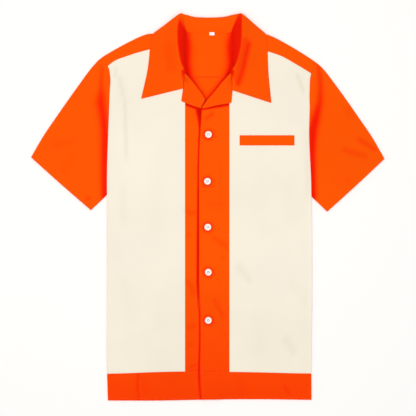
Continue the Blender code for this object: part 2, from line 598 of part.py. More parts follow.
def collar_rows(stations):
    """Sections of the collar: stand up from the neck edge, roll over, fall to the outer edge."""
    rows = np.array(stations, dtype=float)
    neck, roll, edge, layer = rows[:, 0:3], rows[:, 3:6], rows[:, 6:8], rows[:, 8]
    lying = COLLAR_CLOTH / 2.0
    on_front = front_under(edge[:, 0], edge[:, 1]) + LAYER + SLACK + lying
    edge = np.column_stack([edge, lying + (on_front - lying) * layer])
    up = np.array([0.0, 0.0, 1.0])
    plan = np.array([1.0, 1.0, 0.0])
    to_roll = unit((roll - neck) * plan)
    to_edge = unit((edge - roll) * plan)
    tilt = np.radians(rows[:, 9])[:, None]
    leave = to_roll * np.cos(tilt) + up * np.sin(tilt)
    over = unit(to_roll + to_edge - ROLL_DIP * up)
    stand = np.linalg.norm(roll - neck, axis=1)[:, None]
    fall = np.linalg.norm(edge - roll, axis=1)[:, None]
    bend = np.minimum(BEND["share"] * stand, BEND["most"])
    up_part = bezier(neck, neck + leave * BEND["stand"] * stand, roll - over * BEND["up"] * bend, roll,
                     shares(5))
    down = bezier(roll, roll + over * BEND["down"] * bend, edge - to_edge * BEND["fall"] * fall, edge,
                  shares(9))
    # What is turned under the back lies flat from the yoke's own edge inwards.
    x, y, z = down[..., 0], down[..., 1], down[..., 2]
    beyond = smooth((y - yoke_fold_height(x) - TURN_UNDER["start"]) / TURN_UNDER["ease"])
    under = np.clip(1.0 - layer / TURN_UNDER["layer"], 0.0, 1.0)
    down[..., 2] = np.maximum(z - (z - lying) * (1.0 - beyond) * under, lying)
    return np.vstack([up_part, down[1:]])


def build_collar(group):
    """The one-piece collar, turned down all round."""
    stations = COLLAR["right"][::-1] + COLLAR["left"]
    knots = np.array(stations, dtype=float)
    middle = (knots[:, 0:2] + knots[:, 3:5] + knots[:, 6:8]) / 3.0
    chord = np.r_[0.0, np.cumsum(np.linalg.norm(np.diff(middle, axis=0), axis=1) + STATION_SPACING)]
    at = np.interp(shares(46) * (len(stations) - 1), np.arange(len(stations)), chord)
    rows = hermite(knots, chord, at)
    rows[:, 8] = np.clip(rows[:, 8], 0.0, 1.0)
    rows[:, 9] = np.clip(rows[:, 9], 0.0, MOST_TILT)
    return cloth("collar", collar_rows(rows), ORANGE, group, wall=COLLAR_CLOTH)


def build_lapel(side, group):
    """A facing turned out as a lapel: a leg in its strip, the roll, and the flap that lies on the strip."""
    sign = SIDES[side]
    knots = np.array(LAPEL[side], dtype=float)
    steps = np.arange(len(knots), dtype=float)
    at = shares(10) * (len(knots) - 1)
    rows = np.column_stack([np.interp(at, steps, knots[:, i]) for i in range(5)])
    roll, radius, edge = rows[:, 0:2], rows[:, 2], rows[:, 3:5]
    run = unit(np.gradient(roll, axis=0))
    inward = np.column_stack([run[:, 1], -run[:, 0]]) * (-sign)
    inward = inward * np.sign((inward * (roll - edge)).sum(axis=1))[:, None]
    base = roll - inward * (radius + CLOTH / 2.0)[:, None]
    leg = base - inward * LAPEL_LEG
    lie = lay_front(side, leg[:, 0], leg[:, 1])
    rings = [np.column_stack([leg, lie]), np.column_stack([base, lie])]
    for angle in np.radians(np.linspace(-90.0, 90.0, 8)[1:]):
        plan = base + inward * (radius * math.cos(angle))[:, None]
        rings.append(np.column_stack([plan, lie + radius * (1.0 + math.sin(angle))]))
    top = rings[-1]
    for share in shares(5)[1:]:
        plan = base + (edge - base) * share
        rest = lay_front(side, plan[:, 0], plan[:, 1]) + LAYER + SLACK
        drop = smooth(share * LAPEL_DROP)
        rings.append(np.column_stack([plan, rest * drop + np.maximum(top[:, 2], rest) * (1.0 - drop)]))
    return cloth("facing_" + side, np.array(rings), ORANGE, group)


# ---- small pieces ---------------------------------------------------------------------------
def build_welt(group):
    """The pocket welt, sewn flat on the wearer's left front."""
    rise = shares(2)[:, None]
    across = shares(8)[None, :]
    y = WELT_BOTTOM + (WELT_TOP - WELT_BOTTOM) * rise
    x = WELT_IN + (WELT_OUT - WELT_IN) * across + 0.0 * y
    y = y + 0.0 * x
    return cloth("pocket_welt", stack(x, y, panel_mid(x, y, 1.0)), ORANGE, group)


def build_label(group):
    """A small blank label lying on the inside of the yoke, just under the neck seam."""
    width, height, thick = LABEL_SIZE
    rise = shares(1)[:, None]
    across = shares(1)[None, :]
    x = LABEL_CENTRE[0] + width * (across - 0.5) + 0.0 * rise
    y = LABEL_CENTRE[1] + height * (rise - 0.5) + 0.0 * across
    z = back_under(x, y) + LAYER + thick / 2.0
    return cloth("neck_label", stack(x, y, z), WHITE, group, wall=thick)


def build_button(number, place, group):
    """A button with a raised rim, lying on the highest part of the strip below it."""
    x, y = place
    around = np.array([-BUTTON_FOOT, 0.0, BUTTON_FOOT])
    seat = lay_front("left", x + around[None, :], y + around[:, None] + 0.0 * around[None, :]).max()
    mesh = bpy.data.meshes.new("button")
    verts = [(radius * MM, 0.0, height * MM) for radius, height in BUTTON_PROFILE]
    mesh.from_pydata(verts, [(i, i + 1) for i in range(len(verts) - 1)], [])
    obj = add_object("button_" + str(number), mesh, WHITE, group, roughness=0.4)
    turn = obj.modifiers.new("turn", "SCREW")
    turn.angle = 2.0 * math.pi
    turn.steps = BUTTON_STEPS
    turn.render_steps = BUTTON_STEPS
    turn.use_merge_vertices = True
    turn.merge_threshold = 0.0
    obj.location = (x * MM, y * MM, (seat + CLOTH / 2.0 + GAP) * MM)
    return obj


def main():
    """Clear the scene and build the shirt."""
    for old in list(bpy.data.objects):
        bpy.data.objects.remove(old, do_unlink=True)
    group = bpy.data.collections.new("bowling_shirt")
    bpy.context.scene.collection.children.link(group)
    build_back(group)
    build_yoke(group)
    for side in SIDES:
        build_front_panel(side, group)
        build_strip(side, group)
        build_band(side, group)
        build_sleeve(side, group)
        build_lapel(side, group)
    build_collar(group)
    build_welt(group)
    build_label(group)
    for number, place in enumerate(BUTTONS, start=1):
        build_button(number, place, group)


main()
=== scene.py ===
"""Looks of a short-sleeved bowling shirt with a camp collar, buttoned and laid flat on its back.

Millimetres in the tables, metres in the meshes. +X runs towards the wearer's left sleeve, +Y towards
the collar and +Z up from the surface that the shirt lies on. Every panel is a grid of points on the
middle of its cloth, and a shell of even or tapering thickness is put round it. The lower layer lies
flat, the upper layer follows one height field, and what lies on a panel is that field moved up.
"""

import logging
import math
from dataclasses import dataclass, field
from enum import Enum

import bpy
import numpy as np
from bpy.types import ID, Material, Mesh, Node, NodeSocket, NodeTree, Object
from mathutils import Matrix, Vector


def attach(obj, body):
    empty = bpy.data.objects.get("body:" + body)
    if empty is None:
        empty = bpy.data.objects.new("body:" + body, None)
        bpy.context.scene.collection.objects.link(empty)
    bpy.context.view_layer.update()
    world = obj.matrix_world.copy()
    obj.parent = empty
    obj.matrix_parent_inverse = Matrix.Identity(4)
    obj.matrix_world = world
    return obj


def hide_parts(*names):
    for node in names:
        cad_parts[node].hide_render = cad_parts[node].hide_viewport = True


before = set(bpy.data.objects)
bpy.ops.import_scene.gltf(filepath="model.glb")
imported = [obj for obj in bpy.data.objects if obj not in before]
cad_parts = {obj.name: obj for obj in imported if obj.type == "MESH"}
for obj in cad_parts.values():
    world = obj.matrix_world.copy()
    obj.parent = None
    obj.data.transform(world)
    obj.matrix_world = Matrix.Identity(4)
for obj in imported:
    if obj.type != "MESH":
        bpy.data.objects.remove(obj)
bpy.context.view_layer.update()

MM = 0.001
BODY = "root"
CREASE_STEPS = 10                 # straight steps along a crease's curve
SEAM_STEPS = 24                   # straight steps along a seam's curve
SETTLING_ROUNDS = 16              # rounds in which two edges of a panel that fix each other settle
log = logging.getLogger("bowling_shirt")

Points = list[tuple[float, float]]
Array = np.ndarray


class Side(Enum):
    """A side of the wearer, with the sign of X there."""

    RIGHT = -1.0
    LEFT = 1.0

    @property
    def word(self) -> str:
        """The side's name as the CAD nodes spell it."""
        return self.name.lower()


class Slot(Enum):
    """The record's material slots."""

    ORANGE = "orange_cloth"
    CREAM = "cream_cloth"
    LABEL = "label"
    BUTTONS = "buttons"


@dataclass(frozen=True)
class Crease:
    """A trough (depth below zero) or ridge of the cloth along a curve, as the cloth fell, with painted
    shade along it.

    points are in plan. width is the distance at which it has died away to a third. fade says over
    which share of its length it grows from nothing at each end. The value before fade is painted shade
    in the colour: 1 is the shade of an open crease and 2 of a shut one. width, depth and the painted
    shade are each one value, or one for each point.
    """

    points: tuple[tuple[float, float], ...]
    width: float | tuple[float, ...]
    depth: float | tuple[float, ...]
    painted_shade: float | tuple[float, ...] = 0.0
    fade: tuple[float, float] = (0.25, 0.25)

    def along(self, value: float | tuple[float, ...], share: Array) -> float | Array:
        """Read one of the crease's values.

        Args:
            value: the width, depth or tint.
            share: where to read it, as a share of the crease's length.

        Returns:
            The one value, or the value at each place.
        """
        if not isinstance(value, tuple):
            return value
        steps = np.linalg.norm(np.diff(np.array(self.points), axis=0), axis=1)
        knots = np.r_[0.0, np.cumsum(steps)] / steps.sum()
        return np.interp(share, knots, value)


@dataclass(frozen=True)
class Station:
    """A section of the collar: neck edge, top of the roll, outer edge.

    layer is 0 where the outer edge lies under the back and 1 where it lies on the front. tilt is how
    steeply the cloth leaves the neck edge, in degrees.
    """

    neck: tuple[float, float, float]
    roll: tuple[float, float, float]
    edge: tuple[float, float]
    layer: float
    tilt: float


@dataclass(frozen=True)
class LapelStation:
    """A section of a lapel: the point on its roll, the roll's radius and the outer edge."""

    roll: tuple[float, float]
    radius: float
    edge: tuple[float, float]


# ---- curves ---------------------------------------------------------------------------------------
def smooth(value: Array | float) -> Array:
    """Ease from 0 to 1, level at both ends: 3t squared less 2t cubed."""
    t = np.clip(value, 0.0, 1.0)
    return t * t * (3.0 - 2.0 * t)


def unit(vectors: Array) -> Array:
    """Vectors scaled to length one."""
    size = np.linalg.norm(vectors, axis=-1, keepdims=True)
    return vectors / np.maximum(size, 1e-12)


def shares(count: int) -> Array:
    """count + 1 even steps from 0 to 1."""
    return np.linspace(0.0, 1.0, count + 1)


def hermite(points: Array, knots: Array, at: Array) -> Array:
    """Cubic curve through points, with slopes weighted from the neighbouring runs.

    Args:
        points: one row for each knot.
        knots: rising values of the parameter.
        at: where to read the curve.

    Returns:
        One row for each value of at.
    """
    steps = np.diff(knots)[:, None]
    runs = np.diff(points, axis=0) / steps
    inner = (runs[:-1] * steps[1:] + runs[1:] * steps[:-1]) / (steps[1:] + steps[:-1])
    slopes = np.vstack([runs[:1], inner, runs[-1:]])
    seg = np.clip(np.searchsorted(knots, at, side="right") - 1, 0, len(knots) - 2)
    h = steps[seg]
    t = (at - knots[seg])[:, None] / h
    start = (1 + 2 * t) * (1 - t) ** 2 * points[seg] + t * (1 - t) ** 2 * h * slopes[seg]
    end = t * t * (3 - 2 * t) * points[seg + 1] + t * t * (t - 1) * h * slopes[seg + 1]
    return start + end


def spline(rows: Points, where: Array) -> Array:
    """Smooth curve through rows of points.

    Args:
        rows: the points.
        where: places to read it, as shares of its chord length.

    Returns:
        One point for each place.
    """
    points = np.asarray(rows, dtype=float)
    steps = np.linalg.norm(np.diff(points[:, :2], axis=0), axis=1)
    chord = np.r_[0.0, np.cumsum(steps)]
    return hermite(points, chord, np.asarray(where, dtype=float) * chord[-1])


def reading(rows: Points, at: Array, key: int, value: int) -> Array:
    """One coordinate of a seam read against the other, along its curve.

    Args:
        rows: the seam's points.
        at: values of the coordinate that is known.
        key: which one that is, 0 or 1.
        value: which one is wanted.

    Returns:
        The wanted coordinate, shaped as at.
    """
    points = np.asarray(rows, dtype=float)
    order = np.argsort(points[:, key])
    knots = points[order, key]
    flat = np.clip(np.asarray(at, dtype=float).ravel(), knots[0], knots[-1])
    return hermite(points[order][:, [value]], knots, flat)[:, 0].reshape(np.shape(at))


def nearest(x: Array, y: Array, run: Array) -> tuple[Array, Array]:
    """Distance in plan to an open run of points, and how far along it the nearest place is.

    Args:
        x: places across.
        y: places up.
        run: the run's points, one row each.

    Returns:
        The distance, and the share of the run's length, both shaped as x.
    """
    lengths = np.linalg.norm(np.diff(run, axis=0), axis=1)
    before = np.r_[0.0, np.cumsum(lengths)]
    best = np.full(np.shape(x), 1e9)
    share = np.zeros(np.shape(x))
    for number, (start, end) in enumerate(zip(run[:-1], run[1:])):
        dx, dy = end - start
        t = np.clip(((x - start[0]) * dx + (y - start[1]) * dy) / (dx * dx + dy * dy), 0.0, 1.0)
        away = np.hypot(x - start[0] - t * dx, y - start[1] - t * dy)
        closer = away < best
        best = np.where(closer, away, best)
        share = np.where(closer, (before[number] + t * lengths[number]) / before[-1], share)
    return best, share


def bezier(p0: Array, p1: Array, p2: Array, p3: Array, t: Array) -> Array:
    """Cubic curves between rows of points, one row of the result for each value of t."""
    t = t[:, None, None]
    return (1 - t) ** 3 * p0 + 3 * t * (1 - t) ** 2 * p1 + 3 * t * t * (1 - t) * p2 + t ** 3 * p3


def stack(x: Array, y: Array, z: Array) -> Array:
    """Three arrays as one grid of points."""
    return np.stack(np.broadcast_arrays(x, y, z), axis=-1)


# ---- the pattern ----------------------------------------------------------------------------------
def both(right: Points, left: Points) -> dict[Side, Points]:
    """A seam line on each side, as the default of a field."""
    return field(default_factory=lambda: {Side.RIGHT: right, Side.LEFT: left})


@dataclass(frozen=True)
class Pattern:
    """Sizes and seam lines of the shirt as it lies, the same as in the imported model.

    Each row of a seam is the distance out from the centre line and the height.
    """

    cad_wall: float = 1.2
    collar_wall: float = 2.0
    gap: float = 0.3
    slack: float = 0.3
    loft: float = 2.4
    loft_reach: float = 32.0
    fold_rise: float = 1.1
    strip_under_edge: float = 16.5
    back_hem: float = -394.8
    back_yoke_seam: float = 266.0
    strip_out: dict[Side, float] = field(default_factory=lambda: {Side.RIGHT: 46.5, Side.LEFT: 44.5})
    shoulder: dict[Side, Points] = both(
        [(48.5, 366), (80, 359.5), (106, 354.6), (115, 354.9), (122, 354.3), (136.4, 349.8),
         (162.9, 337.4), (185.8, 325.2), (206.9, 313), (220.9, 304.2)],
        [(53.6, 364), (85, 358), (115, 353), (123, 352.7), (130, 350), (155.7, 337.4), (177, 325.2),
         (196.9, 313), (215.8, 300.6), (223.4, 295.4)])
    yoke_front: dict[Side, Points] = both(
        [(46.5, 346.5), (118.8, 322.4), (153.2, 313.1), (170.7, 307), (187.5, 300.8), (197.3, 294.7),
         (204.9, 288.5)],
        [(52, 337.5), (122.5, 318.3), (154.7, 307), (176.6, 294.7), (197.3, 282.4), (211.8, 273.2)])
    armhole: dict[Side, Points] = both(
        [(206.5, 24.1), (206.1, 79.4), (204.3, 140), (202.3, 190), (200.8, 233), (199.8, 268),
         (204.9, 288.5), (220.9, 304.2)],
        [(212.3, 21), (211.4, 60), (208.8, 112), (207.5, 150), (208.6, 200), (208.6, 240), (211.8, 273.2),
         (223.4, 295.4)])
    sleeve_top: dict[Side, Points] = both(
        [(220.9, 304.2), (235.4, 288.5), (263.1, 251.6), (289.4, 214.7), (315.2, 177.8), (337.3, 145),
         (362.3, 102)],
        [(223.4, 295.4), (231.1, 288.5), (260.9, 251.6), (287.7, 214.7), (313.3, 177.8), (335.9, 145),
         (362.3, 98.9)])
    cuff: dict[Side, Points] = both(
        [(362.3, 102), (300.6, 46.6), (239.3, -6.7)],
        [(362.3, 98.9), (306.6, 46.6), (244.5, -9.7)])
    side_seam: dict[Side, Points] = both(
        [(204.5, -397.2), (206, -342.5), (206.4, -150), (206.5, 24.1)],
        [(212.3, -395.8), (212, -342), (213.4, -190), (212.3, 21)])
    hem: dict[Side, Points] = both(
        [(-16.5, -395.3), (13.8, -395.6), (98, -397.2), (204.5, -397.2)],
        [(-16.5, -395.3), (107, -394.5), (212.3, -395.8)])
    band_seam: dict[Side, Points] = both(
        [(-16.5, -337.6), (46.6, -337.6), (206, -342.5)],
        [(-18, -338), (44, -338.4), (212, -342)])
    front_inner: dict[Side, Points] = both(
        [(46.65, -345), (46.65, 250), (48.5, 268), (48.5, 350)],
        [(44.65, -345), (44.65, 250), (53.6, 272), (53.6, 345)])
    back_neck: tuple[tuple[float, float], ...] = (
        (-48.5, 366), (-40, 360.4), (-26, 358.3), (3, 357.8), (32, 358.3), (46, 360.2),
        (53.6, 364))
    front_edge: tuple[tuple[float, float], ...] = (
        (-13.8, -395.6), (-16.3, -350), (-15.2, -270), (-15.2, -218), (-17.6, -200),
        (-18.1, -180), (-18.1, -90), (-18.1, 0), (-18.1, 90), (-15.9, 149), (-13, 190),
        (-12.2, 205))
    strip_top: dict[Side, Points] = both(
        [(-46.5, 264.4), (-36.2, 253.6), (-19.4, 233), (-3.6, 210.6), (6, 199),
         (16.5, 186)],
        [(-17, 203), (-12.4, 202.4), (-9.6, 201.4), (-1.7, 211.2), (15.7, 230.4),
         (35.2, 253.6), (44.5, 262.4)])

    @property
    def layer(self) -> float:
        """Rise from one layer to the next."""
        return self.cad_wall + self.gap

    @property
    def fold_radius(self) -> float:
        """Middle of the cloth, round a fold at the outline."""
        return (self.layer + self.fold_rise) / 2.0

    @property
    def back_raise(self) -> float:
        """How far the yoke's back is lifted by the collar that is turned down behind it."""
        return self.collar_wall + self.gap + 0.1

    def outline(self) -> Array:
        """The whole silhouette: hem, side seam, cuff, sleeve and shoulder of both sides.

        Returns:
            One closed run of points.
        """
        runs = []
        for side in Side:
            run = self.hem[side][1:] + self.side_seam[side][1:] + [self.cuff[side][2], self.cuff[side][0]]
            run = run + self.sleeve_top[side][::-1][1:] + self.shoulder[side][::-1][1:]
            points = np.array(run, dtype=float) * (side.value, 1.0)
            runs.append(points if side is Side.LEFT else points[::-1])
        whole = np.vstack([runs[0], runs[1]])
        return np.vstack([whole, whole[:1]])

    def side_edge(self, side: Side, y: Array) -> Array:
        """Outer edge of the body at each height: the side seam, then the armhole."""
        return reading(self.side_seam[side] + self.armhole[side][1:], y, 1, 0)

    def by_side(self, table: dict[Side, Points], x: Array) -> Array:
        """Height of a line that both sides have, at each X."""
        return np.where(x < 0, reading(table[Side.RIGHT], -x, 0, 1), reading(table[Side.LEFT], x, 0, 1))

    def yoke_fold_height(self, x: Array) -> Array:
        """Highest point of the yoke: its shoulder folds, and the neck edge between them."""
        on_neck = (x > self.back_neck[0][0]) & (x < self.back_neck[-1][0])
        return np.where(on_neck, reading(list(self.back_neck), x, 0, 1), self.by_side(self.shoulder, x))

    def seam_runs(self) -> list[Array]:
        """The seams between pieces that lie side by side.

        Returns:
            Each seam as a run of points in plan.
        """
        runs = []
        for side in Side:
            sign = (side.value, 1.0)
            for table in (self.yoke_front, self.armhole, self.band_seam):
                runs.append(spline(table[side], shares(SEAM_STEPS)) * sign)
            runs.append(np.array(self.front_inner[side][:2]) * sign)
        return runs


# ---- how the cloth lies ---------------------------------------------------------------------------
@dataclass
class Creases:
    """Creases, and the shade painted along them, that are read together over the cloth."""

    rows: tuple[Crease, ...]

    def __post_init__(self) -> None:
        """Round the corners of each crease."""
        self.lines = [spline(list(crease.points), shares(CREASE_STEPS)) for crease in self.rows]

    def at(self, x: Array, y: Array) -> tuple[Array, Array]:
        """Creases at each place: the sum of depth times exp(-(distance / width) squared).

        Args:
            x: places across.
            y: places up.

        Returns:
            The rise or fall, and the painted shade from 0 to 2.
        """
        rise = np.zeros(np.shape(x))
        painted_shade = np.zeros(np.shape(x))
        for crease, line in zip(self.rows, self.lines):
            away, share = nearest(x, y, line)
            start, end = crease.fade
            near = np.exp(-(away / crease.along(crease.width, share)) ** 2)
            near = near * (smooth(share / start) if start > 0.0 else 1.0)
            near = near * (smooth((1.0 - share) / end) if end > 0.0 else 1.0)
            rise = rise + crease.along(crease.depth, share) * near
            painted_shade = np.maximum(painted_shade, crease.along(crease.painted_shade, share) * near)
        return rise, painted_shade


@dataclass
class Lie:
    """The height fields of the shirt as it lies, with the creases that fell in it and their painted shade.

    Heights are of the underside of a wall of the CAD's thickness, so that a thinner cloth keeps to
    the middle of it and clears its neighbours. An ease is the distance over which one height turns
    into the next.
    """

    pattern: Pattern
    creases: Creases
    seam_dip: float = 0.55
    seam_width: float = 1.7
    seam_reach: float = 5.0
    allowance: float = 9.0
    allowance_rise: float = 0.22
    allowance_ease: float = 1.6
    pucker: float = 0.2
    pucker_length: float = 15.0
    pucker_reach: float = 8.0
    pucker_start: float = 2.0
    ripple_heights: tuple[float, float, float] = (0.16, 0.2, 0.07)
    clearance: float = 0.9
    pressed_reach: float = 9.0
    pressed_share: float = 0.35
    # Where the collar is turned under the back: its middle and half width, its foot, and their eases.
    collar_middle: float = 2.0
    collar_half: float = 158.0
    collar_side_ease: float = 34.0
    collar_foot: float = 292.0
    collar_foot_ease: float = 38.0
    # Where the outline is a round fold: above this height, or further out than this.
    fold_above: float = 30.0
    fold_above_ease: float = 45.0
    fold_beyond: float = 207.0
    fold_beyond_ease: float = 8.0
    # Where the buttoned front stands above the other: up to this X, out to this X, and below this Y.
    lap_inner: float = 34.0
    lap_inner_ease: float = 14.0
    lap_outer: float = -60.0
    lap_outer_ease: float = 20.0
    lap_top: float = 236.0
    lap_top_ease: float = 14.0

    def __post_init__(self) -> None:
        """Work out the runs of points that the fields are measured from."""
        self.outline = self.pattern.outline()
        self.seams = self.pattern.seam_runs()

    def back_under(self, x: Array, y: Array) -> Array:
        """Lower layer: 0, raised by the collar's thickness where the collar is turned under it."""
        across = smooth((self.collar_half - np.abs(x - self.collar_middle)) / self.collar_side_ease)
        return self.pattern.back_raise * across * smooth((y - self.collar_foot) / self.collar_foot_ease)

    def ripple(self, x: Array, y: Array) -> Array:
        """Slight unevenness of cloth that was ironed flat: three sets of bent waves at odd angles.

        Each is a sine whose phase is shifted by another sine, so that no two crests are alike.

        Args:
            x: places across.
            y: places up.

        Returns:
            The rise at each place.
        """
        first = np.sin(x / 17.0 + 1.3 * np.sin(y / 41.0)) * np.sin(y / 29.0 + 0.7)
        second = np.sin((x + 2.2 * y) / 31.0 + 0.8 * np.sin(x / 23.0))
        third = np.sin((x - 0.6 * y) / 11.0 + 1.9 * np.sin(y / 37.0)) * np.sin((x + y) / 53.0)
        low, middle, fine = self.ripple_heights
        return low * first + middle * second + fine * third

    def sewn(self, x: Array, y: Array) -> Array:
        """Relief of the seams: a groove at the join, the allowance beside it and small puckers.

        groove: -dip * exp(-(d / width) squared); allowance: a step that ends about 9 mm away;
        puckers: waves along the seam that die away from it.

        Args:
            x: places across.
            y: places up.

        Returns:
            The rise or fall at each place.
        """
        relief = np.zeros(np.shape(x))
        for run in self.seams:
            away, _ = nearest(x, y, run)
            along = (x + y) * 2.0 * math.pi / self.pucker_length
            wave = np.sin(along + 1.7 * np.sin(along / 4.3)) * np.exp(-(away / self.pucker_reach) ** 2)
            beside = smooth((self.allowance - away) / self.allowance_ease) * self.allowance_rise
            relief = relief + beside + self.pucker * wave * smooth(away / self.pucker_start)
            relief = relief - self.seam_dip * np.exp(-(away / self.seam_width) ** 2)
        return relief

    def front_under(self, x: Array, y: Array, seams: bool = True) -> Array:
        """Upper layer: a gap over the lower one, lofted and creased inside the outline.

        Args:
            x: places across.
            y: places up.
            seams: whether the relief of the seams is added.

        Returns:
            Height of the underside at each place.
        """
        cut = self.pattern
        edge, _ = nearest(x, y, self.outline)
        round_fold = np.maximum(smooth((y - self.fold_above) / self.fold_above_ease),
                                smooth((np.abs(x) - self.fold_beyond) / self.fold_beyond_ease))
        low = cut.fold_rise * round_fold
        inside = smooth(edge / cut.loft_reach)
        settled = smooth(edge / self.pressed_reach)
        depth = self.pressed_share + (1.0 - self.pressed_share) * inside
        height = cut.layer + low + (cut.loft - low) * inside
        height = height + self.creases.at(x, y)[0] * depth * settled
        height = height + self.ripple(x, y) * inside
        if seams:
            height = height + self.sewn(x, y) * smooth(edge / self.seam_reach)
        return self.back_under(x, y) + np.maximum(height, self.clearance)

    def painted_shade(self, x: Array, y: Array) -> Array:
        """Painted shade of the creases at each place, 0 to 2."""
        return self.creases.at(x, y)[1]

    def overlap(self, x: Array, y: Array) -> Array:
        """How far the buttoned front stands above the one that it covers.

        Args:
            x: places across.
            y: places up.

        Returns:
            One layer over the other front, easing to nothing round it.
        """
        step = self.pattern.layer + self.pattern.slack
        across = smooth((self.lap_inner - x) / self.lap_inner_ease)
        across = across * smooth((x - self.lap_outer) / self.lap_outer_ease)
        return step * across * smooth((self.lap_top - y) / self.lap_top_ease)

    def middle(self, x: Array, y: Array, layers: float = 0.0, seams: bool = True) -> Array:
        """Middle of a cloth that lies on the upper layer, above a number of layers."""
        cut = self.pattern
        return self.front_under(x, y, seams) + layers * cut.layer + cut.cad_wall / 2.0

    def front_middle(self, side: Side, x: Array, y: Array, seams: bool = True) -> Array:
        """Middle of the cloth of one front, over the other where they cross."""
        raised = self.overlap(x, y) if side is Side.LEFT else 0.0
        return self.middle(x, y, seams=seams) + raised


# ---- meshes ---------------------------------------------------------------------------------------
class Rim(Enum):
    """An edge of a grid of points."""

    FIRST_ROW = "first row"
    LAST_ROW = "last row"
    FIRST_COL = "first column"
    LAST_COL = "last column"

    def facing(self, values: Array) -> Array:
        """The grid turned so that this edge is its first column."""
        turned = values if self in (Rim.FIRST_COL, Rim.LAST_COL) else np.swapaxes(values, 0, 1)
        return turned if self in (Rim.FIRST_COL, Rim.FIRST_ROW) else turned[:, ::-1]


@dataclass
class Grid:
    """A piece of cloth as rows and columns of points on its middle, in millimetres.

    wrap joins the last column to the first. keep says which of its squares are cloth. wall is the
    thickness at each point, and the painted shade is given at each point too, with a second one for the
    reverse face where it differs.
    """

    points: Array
    wall: float | Array
    painted_shade: float | Array = 0.0
    wrap: bool = False
    keep: Array | None = None
    back_painted_shade: Array | None = None

    def spread(self) -> Array:
        """The cloth's own weave map: distances along it, summed from its first column and first row.

        Returns:
            Metres across and up at each point.
        """
        across = np.linalg.norm(np.diff(self.points, axis=1), axis=-1)
        up = np.linalg.norm(np.diff(self.points, axis=0), axis=-1)
        u = np.hstack([np.zeros((len(across), 1)), np.cumsum(across, axis=1)])
        v = np.vstack([np.zeros((1, up.shape[1])), np.cumsum(up, axis=0)])
        if self.wrap:
            joint = np.linalg.norm(self.points[:, :1] - self.points[:, -1:], axis=-1)
            u = np.hstack([u, u[:, -1:] + joint])
            v = np.hstack([v, v[:, :1]])
        return np.stack([u, v], axis=-1) * MM

    def inset(self, rim: Rim, distance: float, under: bool = False) -> tuple[Array, Array]:
        """A run of points on the face, an even distance in from one edge.

        Along each line of the grid that leaves the edge, the point is where its length reaches distance.

        Args:
            rim: the edge.
            distance: how far in, in millimetres.
            under: whether the run is on the lower face.

        Returns:
            The points, and the directions out of the cloth there.
        """
        points = rim.facing(self.points)
        half = rim.facing(np.broadcast_to(self.wall, self.points.shape[:2])) / 2.0
        normal = unit(np.cross(np.gradient(points, axis=1), np.gradient(points, axis=0)))
        normal = normal * np.where((normal[..., 2:] < 0.0) != under, -1.0, 1.0)
        steps = np.linalg.norm(np.diff(points, axis=1), axis=-1)
        length = np.hstack([np.zeros((len(points), 1)), np.cumsum(steps, axis=1)])
        after = np.clip((length < distance).sum(axis=1), 1, points.shape[1] - 1)
        line = np.arange(len(points))
        span = length[line, after] - length[line, after - 1]
        share = np.clip((distance - length[line, after - 1]) / span, 0.0, 1.0)[:, None]
        face = points + normal * half[..., None]
        place = face[line, after - 1] * (1.0 - share) + face[line, after] * share
        return place, unit(normal[line, after - 1] * (1.0 - share) + normal[line, after] * share)


@dataclass
class Shell:
    """A closed mesh: points in millimetres, faces by their corners, and painted shade at each point.

    weave is the weave map at each corner of each face, where the finish needs one.
    """

    points: Array
    faces: Array | list[list[int]]
    painted_shade: Array
    weave: Array | None = None


def corner_normals(points: Array, faces: Array) -> Array:
    """Direction of the surface at each point: the sum of its faces' cross products, made unit.

    Args:
        points: one row each.
        faces: the four corners of each face.

    Returns:
        One direction for each point.
    """
    a, b, c, d = (points[faces[:, corner]] for corner in range(4))
    across = np.cross(c - a, d - b)
    total = np.zeros_like(points)
    for corner in range(4):
        np.add.at(total, faces[:, corner], across)
    return unit(total)


def free_edges(faces: Array, count: int) -> tuple[Array, Array, Array]:
    """The edges that only one face has.

    Args:
        faces: the four corners of each face.
        count: how many points there are.

    Returns:
        The two ends of each such edge, its face, and the corner of the face that it leaves from.
    """
    edges = np.vstack([faces[:, [n, (n + 1) % 4]] for n in range(4)])
    owner = np.tile(np.arange(len(faces)), 4)
    corner = np.repeat(np.arange(4), len(faces))
    forward = edges[:, 0] * count + edges[:, 1]
    free = ~np.isin(forward, edges[:, 1] * count + edges[:, 0])
    return edges[free], owner[free], corner[free]


def rim_outward(points: Array, normal: Array, rim: Array) -> Array:
    """Direction out of the cloth in its own plane: the sum of rim edge cross normal, made unit.

    Args:
        points: one row each.
        normal: the direction of the surface at each.
        rim: the two ends of each edge of the rim.

    Returns:
        One direction for each point, zero away from the rim.
    """
    along = points[rim[:, 1]] - points[rim[:, 0]]
    outward = np.zeros_like(points)
    for end in range(2):
        np.add.at(outward, rim[:, end], unit(np.cross(along, normal[rim[:, end]])))
    return unit(outward)


